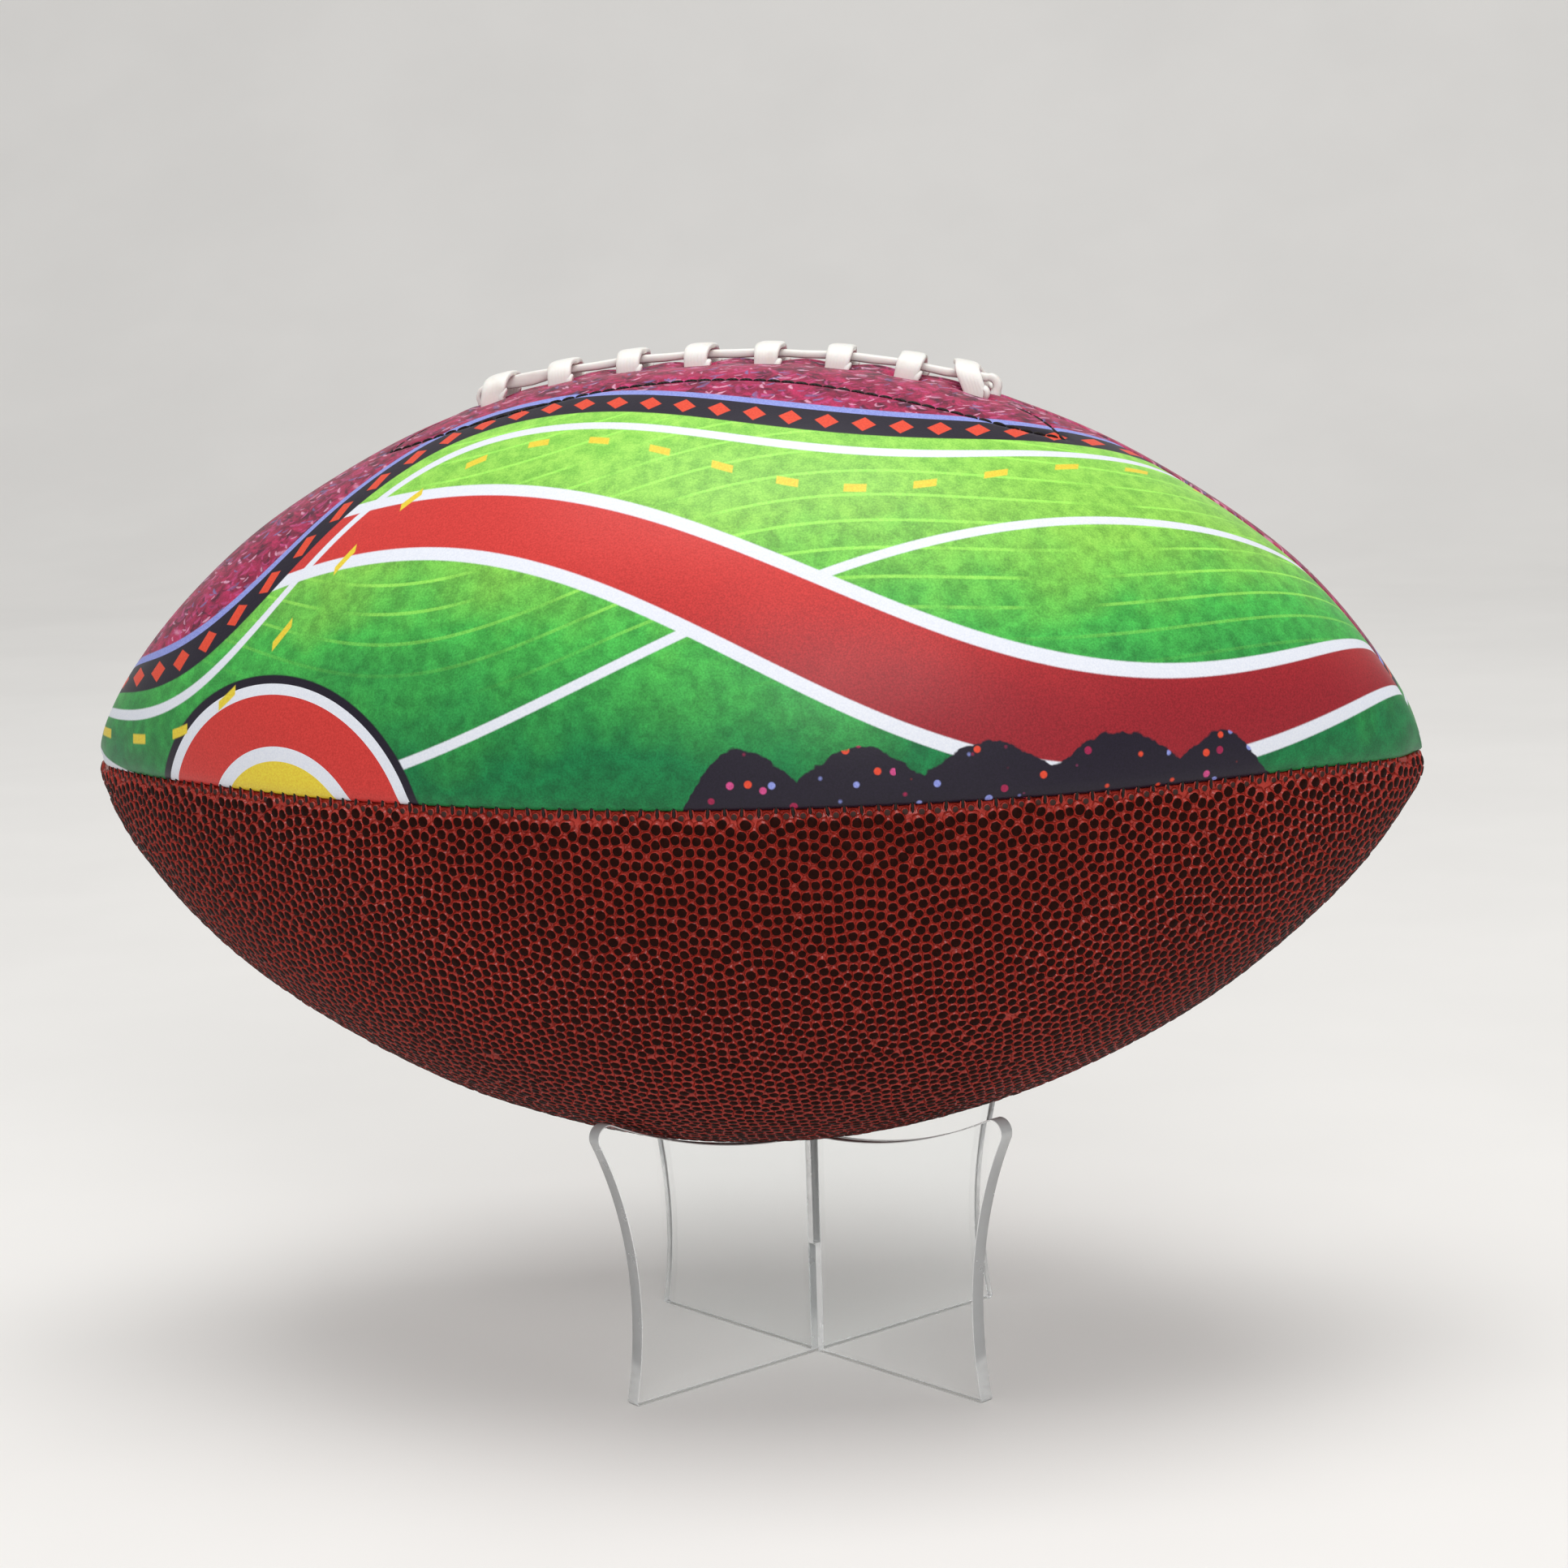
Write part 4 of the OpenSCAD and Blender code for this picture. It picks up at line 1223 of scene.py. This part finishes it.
class FOOTBALL_OT_laces(bpy.types.Operator):
    """Lace the ball with the cross laces and the lengthwise lace"""
    bl_idname = "football.laces"
    bl_label = "Laces"

    def execute(self, context):
        laces = context.scene.football_laces
        material = lace_material(laces)
        for i, place in enumerate(lace_places()):
            self.cross_lace(i, place, laces, material)
        self.lengthwise(laces, material)
        return {"FINISHED"}

    def local(self, angle):
        """Origin, direction along and direction out, on the laced round at an angle."""
        out = np.array([math.sin(angle), 0, math.cos(angle)])
        along = np.array([math.cos(angle), 0, -math.sin(angle)])
        origin = np.array([0, 0, laced_axis()]) + out * ball_settings().laced_round
        return origin, along, out

    def cross_lace(self, i, place, laces, material):
        """One cross lace over the lengthwise lace, with the fold that comes up beside its foot."""
        origin, along, out = self.local(math.asin(place / ball_settings().laced_round))
        side_way = np.array([0, -1.0, 0])
        rng = np.random.default_rng(40 + i)
        over = laces.run_rise + laces.run_thickness + 0.1 * MM + laces.thickness / 2
        lean, drift = LACE_LEANS[i] * MM, LACE_DRIFTS[i] * MM
        # A squarish arch from leg to leg
        turn = np.linspace(0, math.pi, 41)
        y = laces.hole_row * power_round(np.cos(turn), 3.1)
        h = over * power_round(np.sin(turn), 3.1)
        legs = np.linspace(-laces.depth * 0.8, 0, 9)[:-1]
        foot = np.full(len(legs), laces.hole_row)
        y = np.concatenate([foot, y, -foot])
        h = np.concatenate([legs, h, legs[::-1]])
        rise = np.clip(h / over, 0, 1)
        dip = 1.2 * MM
        shift = (lean + drift * np.clip(0.5 - y / (8 * MM), 0, 1)) * np.maximum(h + dip, 0)
        shift = shift / (over + dip) + 0.12 * MM * np.sin(y / MM * 0.7 + i * 1.9)
        path = origin + np.outer(shift, along) + np.outer(y, side_way) + np.outer(h, out)
        tangent = unit(np.gradient(path, axis=0))
        flat = unit(along - tangent * (tangent @ along)[:, None] * 0.4)
        up = unit(np.cross(flat, tangent))
        wide = laces.width / 2 * (1 + 0.02 * np.sin(np.linspace(0, 9, len(path)) + i)
                                  - 0.09 * (1 - rise) + 0.01 * rise)
        thick = laces.thickness / 2 * (1 + 0.06 * np.sin(np.linspace(1, 8, len(path)) + 2 * i))
        sections = [self.strap_section(w, t) for w, t in zip(wide, thick)]
        heap = Heap()
        points, faces = swept(path, flat, up, sections)
        heap.add(points, faces, self.strap_places(sections, path))
        # The next turn of the lace shows as a small fold beside each foot.
        last = i == laces.count - 1
        for side, size in ((1, 0.5 if last else 0.9), (-1, 0.5 if last else 0.8)):
            bow = np.linspace(0, math.pi, 15)
            fy = side * (laces.hole_row - 0.4 * MM + 0.8 * MM * np.cos(bow))
            fh = size * 1.5 * MM * np.sin(bow) - 0.6 * MM
            fx = (laces.width * 0.44 + 0.3 * MM * np.sin(bow) + rng.normal(0, 0.1 * MM)
                  + lean * 0.3 * np.sin(bow))
            fold = origin + np.outer(fx, along) + np.outer(fy, side_way) + np.outer(fh, out)
            fold = np.concatenate([fold[:1] - out * 1.5 * MM, fold, fold[-1:] - out * 1.5 * MM])
            tangent = unit(np.gradient(fold, axis=0))
            flat = unit(along - tangent * (tangent @ along)[:, None])
            sections = [rounded_section(0.62 * MM, 0.45 * MM, 2.6, 16)] * len(fold)
            points, faces = swept(fold, flat, np.cross(flat, tangent), sections)
            heap.add(points, faces, self.strap_places(sections, fold))
        heap.piece(f"cross_strap_{i + 1}", material, "lace", f"cross_lace_{i + 1}")

    def strap_section(self, half_w, half_t):
        """A flat strap with round edges and a faintly crowned face."""
        section = rounded_section(half_w, half_t, 4.2, 36)
        section[:, 1] *= 1 - 0.16 * (np.abs(section[:, 0]) / half_w) ** 4
        return section

    def strap_places(self, sections, path):
        """Where each point lies across, through and along its strap."""
        return np.concatenate([np.column_stack([s, np.full(len(s), r)])
                               for s, r in zip(sections, run_of(path))])

    def lengthwise(self, laces, material):
        """The lengthwise lace, which hooks down into the slit at both ends."""
        ball = ball_settings()
        half = laces.run_thickness / 2
        reach = laces.run_end / ball.laced_round
        middle = laces.shift * 0.6 / ball.laced_round
        angles = np.linspace(-reach, reach, 160) + middle

        def hook(side, band):
            """Rows from the end of the run round the turn and down its leg."""
            origin, along, out = self.local(side * reach + middle)
            along = along * side
            centre = origin + out * (laces.run_rise - laces.turn)
            rows = []
            for a in np.linspace(0, QUARTER, 14)[1:]:
                outward = out * math.cos(a) + along * math.sin(a)
                r = laces.turn + half + 0.3 * MM * math.sin(a * 2)
                rows.append((centre + outward * r, outward, laces.run_width / 2,
                             half + (band - half) * min(1, a / QUARTER * 1.6)))
            for d in np.linspace(0, laces.depth + laces.run_rise - laces.turn, 12)[1:]:
                flare = 1 + 0.25 * math.exp(-((d - 1.2 * MM) / (1.2 * MM)) ** 2)
                rows.append((centre + along * (laces.turn + half) - out * d
                             - along * 0.25 * MM * min(1, d / (2 * MM)), along,
                             laces.run_width / 2, band * flare))
            return rows

        # Each row has a point, its way out, half a width and half a thickness.
        rows = hook(-1, 0.6 * MM)[::-1]
        for a in angles:
            origin, along, out = self.local(a)
            x = a * ball.laced_round
            near = min(1, np.min(np.abs(lace_places() - x)) / (laces.pitch / 2))
            t = half * (1.04 + 0.06 * math.sin(a * 60 + 1) - 0.08 * (1 - near))
            # Next to the first cross lace it lies twisted, with its flat side to the front.
            twist = math.exp(-((x + 44 * MM) / (6.5 * MM)) ** 2)
            left = math.exp(-((a + reach) / 0.014) ** 2)
            t = t + 0.56 * MM * twist
            lift = (0.1 * MM * (1 - 2 * near)
                    - 0.5 * MM * math.exp(-((x - 45 * MM) / (9 * MM)) ** 2))
            rows.append((origin + out * (laces.run_rise + half + lift), out,
                         laces.run_width / 2 - 0.5 * MM * twist,
                         t + (0.6 * MM - t) * left * 0.8))
        rows += hook(1, 0.98 * MM)
        path, up, width, thick = (np.array(column) for column in zip(*rows))
        sections = [rounded_section(w, t, 3.0, 20) for w, t in zip(width, thick)]
        for s in sections:
            s[:, 1] -= 0.22 * MM * np.exp(-(s[:, 0] / (0.35 * MM)) ** 2) * (s[:, 1] > 0)
        points, faces = swept(path, np.tile([0, 1.0, 0], (len(path), 1)), up, sections)
        heap = Heap()
        heap.add(points, faces, self.strap_places(sections, path))
        heap.piece("lengthwise_strap", material, "lace", "lengthwise_lace")


class FOOTBALL_OT_inside(bpy.types.Operator):
    """Give the linings, facings, bladder, valve and tongue their finishes"""
    bl_idname = "football.inside"
    bl_label = "Inside of the ball"

    def execute(self, context):
        finishes = {
            "lining_print_front lining_print_back lining_pebble_front lining_pebble_back":
                cloth_material("lining_cloth", linear("d8d1c2"), 0.7),
            "facing_front facing_back": cloth_material("facing_cloth", linear("c6bda9"), 1.1),
            "lace_tongue": cloth_material("tongue_cloth", linear("8d8577"), 0.8),
            "bladder": rubber_material("bladder_rubber", linear("1d1b1b"), 0.5),
            "valve": rubber_material("valve_rubber", linear("121111"), 0.42),
        }
        for names, material in finishes.items():
            for name in names.split():
                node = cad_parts[name]
                if not node.material_slots:
                    node.data.materials.append(None)
                for place in node.material_slots:
                    place.material = material
        return {"FINISHED"}


def arc(centre, radius, start, end, steps):
    """Points of an arc from one angle to another."""
    a = np.linspace(start, end, steps + 1)
    return np.stack([centre[0] + radius * np.cos(a), centre[1] + radius * np.sin(a)], 1)


class FOOTBALL_OT_stand(bpy.types.Operator):
    """Cut the two clear plates and slot them together"""
    bl_idname = "football.stand"
    bl_label = "Clear stand"

    def execute(self, context):
        stand = context.scene.football_stand
        materials = [clear_material("acrylic_face", stand.tint, 0.012, False),
                     clear_material("acrylic_edge", stand.tint, 0.05, True)]
        half = self.half_outline(stand)
        flip = [-1, 1]
        joint, spare = stand.cradle_z / 2, stand.slot_clear / 2
        gap = stand.plate / 2 + stand.slot_clear
        # The lower plate's slot is open at the top and the upper plate's at the bottom.
        lip = float(np.interp(gap, half[::-1][:40, 0], half[::-1][:40, 1]))
        right = np.array([*half[half[:, 0] > gap], (gap, lip), (gap, joint - spare)])
        lower = [*right, *(right * flip)[::-1]]
        upper = [(gap, 0), *half, *(half * flip)[-2::-1], (-gap, 0), (-gap, joint + spare),
                 (gap, joint + spare)]
        self.plate("lower", stand.turn, lower, stand, materials)
        self.plate("upper", stand.turn + 90, upper, stand, materials)
        return {"FINISHED"}

    def half_outline(self, stand):
        """Outline of one half of a plate, from the floor up its end and along the cradle."""
        cradle = np.array([0, stand.cradle_z + stand.cradle_radius])
        side = np.array([stand.waist_half + stand.side_radius, stand.waist_z])
        r1, r2 = stand.cradle_radius + stand.horn, stand.side_radius + stand.horn
        d = np.linalg.norm(side - cradle)
        a = (d * d + r1 * r1 - r2 * r2) / (2 * d)
        way = (side - cradle) / d
        horn = cradle + a * way + math.sqrt(r1 * r1 - a * a) * np.array([way[1], -way[0]])
        to_cradle = math.atan2(cradle[1] - horn[1], cradle[0] - horn[0])
        to_side = math.atan2(side[1] - horn[1], side[0] - horn[0])
        foot_angle = math.pi + math.asin(stand.waist_z / stand.side_radius)
        # A small round takes off the foot's corner.
        foot = side[0] + stand.side_radius * math.cos(foot_angle - 0.004)
        f = stand.foot
        return np.concatenate([
            arc((foot - f * 1.05, f), f, -QUARTER, 0.12, 6),
            arc(side, stand.side_radius, foot_angle - 0.014, math.pi + to_side, 60),
            arc(horn, stand.horn, to_side, to_cradle, 20)[1:],
            arc(cradle, stand.cradle_radius, to_cradle - math.pi, -QUARTER, 60)[1:],
        ])

    def plate(self, name, turn, outline, stand, materials):
        """One plate, cut along its outline, with eased rims."""
        shape = bmesh.new()
        ring = [shape.verts.new((px, -stand.plate / 2, pz)) for px, pz in outline]
        pushed = bmesh.ops.extrude_face_region(shape, geom=[shape.faces.new(ring)])
        for v in (g for g in pushed["geom"] if isinstance(g, bmesh.types.BMVert)):
            v.co.y += stand.plate
        bmesh.ops.recalc_face_normals(shape, faces=shape.faces)
        for f in shape.faces:
            f.material_index = 0 if abs(f.normal.y) > 0.5 else 1
        rims = [e for e in shape.edges
                if len(e.link_faces) == 2 and e.calc_face_angle() > math.radians(60)
                and abs(e.verts[0].co.y - e.verts[1].co.y) < 1e-6]
        bmesh.ops.bevel(shape, geom=rims, offset=stand.bevel, segments=2, affect="EDGES",
                        profile=0.5, clamp_overlap=True, material=1)
        bmesh.ops.triangulate(shape, faces=[f for f in shape.faces if len(f.verts) > 4])
        turned = Matrix.Translation((PLATE_MIDDLE[0], PLATE_MIDDLE[1], 0)) @ Matrix.Rotation(
            math.radians(turn), 4, "Z")
        bmesh.ops.transform(shape, matrix=turned, verts=shape.verts)
        # The faces are put in a fixed order, each from its lowest corner on.
        shape.verts.index_update()
        points = [tuple(v.co) for v in shape.verts]
        sides = {}
        for f in shape.faces:
            ring = [v.index for v in f.verts]
            first = ring.index(min(ring))
            sides[tuple(ring[first:] + ring[:first])] = f.material_index
        shape.free()
        faces = sorted(sides)
        sides = [sides[f] for f in faces]
        piece = make_mesh(f"clear_plate_{name}", points, faces, *materials, smooth=False)
        piece.data.set_sharp_from_angle(angle=math.radians(28))
        piece.data.polygons.foreach_set("material_index", sides)
        piece.data.polygons.foreach_set("use_smooth", sides)
        piece.data.update()
        join_frame(piece, f"stand_{name}", "acrylic", f"stand_plate_{name}")


# Where the camera stands and its turns about Z, X and Y in degrees
CAMERA_PLACE = (0.1258, -0.7288, 0.2399)
CAMERA_TURN = (9.184, -8.85, 1.765)
# The way from the ball to the key lamp, and where the top lamp hangs
KEY_WAY = (0.26, -0.86, 0.47)
TOP_PLACE = (0.05, -0.2, 2.4)


class FOOTBALL_OT_stage(bpy.types.Operator):
    """Set the floor, the backdrop, the lamps and the camera"""
    bl_idname = "football.stage"
    bl_label = "Stage"

    def execute(self, context):
        scene = context.scene
        stage = scene.football_stage
        scene.view_settings.view_transform = "Standard"
        self.backdrop(stage)
        self.camera(scene, stage)
        self.world(scene, stage)
        middle = Vector((0.0, 0.0, BALL_Z))
        self.lamp("key_lamp", middle + Vector(KEY_WAY) * 1.5, middle, 0.7, 0.7, stage.key)
        self.lamp("top_lamp", Vector(TOP_PLACE), middle, 1.7, 1.4, stage.top)
        return {"FINISHED"}

    def backdrop(self, stage):
        """A pale floor that curves up behind into a backdrop."""
        back, bend, top = 1.6, 0.9, 3.6
        rows = [(-3.0, 0.0), (back, 0.0)]
        rows += [(back + bend * math.sin(a), bend - bend * math.cos(a))
                 for a in np.linspace(0, QUARTER, 25)[1:]]
        rows += [(back + bend, top)]
        xs = np.linspace(-4, 4, 9)
        at = np.arange(len(rows) * len(xs)).reshape(len(rows), len(xs))
        floor = make_mesh("studio_floor", [(x, y, z) for y, z in rows for x in xs],
                          quads(at[:-1, :-1], at[:-1, 1:], at[1:, 1:], at[1:, :-1]),
                          floor_material(stage.floor))

    def camera(self, scene, stage):
        data = bpy.data.cameras.new("camera")
        data.lens, data.sensor_width = stage.lens, 36.0
        camera = bpy.data.objects.new("camera", data)
        scene.collection.objects.link(camera)
        about_z, about_x, about_y = (math.radians(a) for a in CAMERA_TURN)
        turn = (Matrix.Rotation(about_z, 3, "Z") @ Matrix.Rotation(about_x, 3, "X")
                @ Matrix.Rotation(about_y, 3, "Y"))
        right, forward, up = turn.col
        looking = Matrix((right, up, -forward)).transposed().to_4x4()
        camera.matrix_world = Matrix.Translation(CAMERA_PLACE) @ looking
        scene.camera = camera

    def world(self, scene, stage):
        world = bpy.data.worlds.new("studio_light")
        world.use_nodes = True
        sky = world.node_tree.nodes["Background"]
        sky.inputs["Color"].default_value = (0.98, 0.99, 1.0, 1.0)
        sky.inputs["Strength"].default_value = stage.sky
        scene.world = world

    def lamp(self, name, place, target, size_x, size_y, power):
        data = bpy.data.lights.new(name, "AREA")
        data.shape = "RECTANGLE"
        data.size, data.size_y, data.energy = size_x, size_y, power
        lamp = bpy.data.objects.new(name, data)
        lamp.location = place
        lamp.rotation_mode = "QUATERNION"
        lamp.rotation_quaternion = (target - place).to_track_quat("-Z", "Y")
        bpy.context.scene.collection.objects.link(lamp)


OPERATORS = (FOOTBALL_OT_stage, FOOTBALL_OT_stand, FOOTBALL_OT_inside, FOOTBALL_OT_print_panels,
             FOOTBALL_OT_pebble_panels, FOOTBALL_OT_seams, FOOTBALL_OT_laces)


class FOOTBALL_PT_tools(bpy.types.Panel):
    """Football tools in the 3D view's sidebar"""
    bl_label = "Football"
    bl_idname = "FOOTBALL_PT_tools"
    bl_space_type = "VIEW_3D"
    bl_region_type = "UI"
    bl_category = "Football"

    def draw(self, context):
        for operator in OPERATORS:
            self.layout.operator(operator.bl_idname)
        for key in GROUPS:
            box = self.layout.box()
            box.label(text=key.split("_")[1].capitalize())
            settings = getattr(context.scene, key)
            for prop in settings.__annotations__:
                box.prop(settings, prop)


def register():
    for cls in (*GROUPS.values(), *OPERATORS, FOOTBALL_PT_tools):
        bpy.utils.register_class(cls)
    for key, cls in GROUPS.items():
        setattr(bpy.types.Scene, key, PointerProperty(type=cls))


def unregister():
    for key in GROUPS:
        delattr(bpy.types.Scene, key)
    for cls in (FOOTBALL_PT_tools, *OPERATORS, *GROUPS.values()):
        bpy.utils.unregister_class(cls)


def main():
    """Registers the tools and builds every piece in order."""
    register()
    bpy.ops.football.stage()
    bpy.ops.football.stand()
    bpy.ops.football.inside()
    bpy.ops.football.print_panels()
    bpy.ops.football.pebble_panels()
    bpy.ops.football.seams()
    bpy.ops.football.laces()


if __name__ == "__main__":
    main()
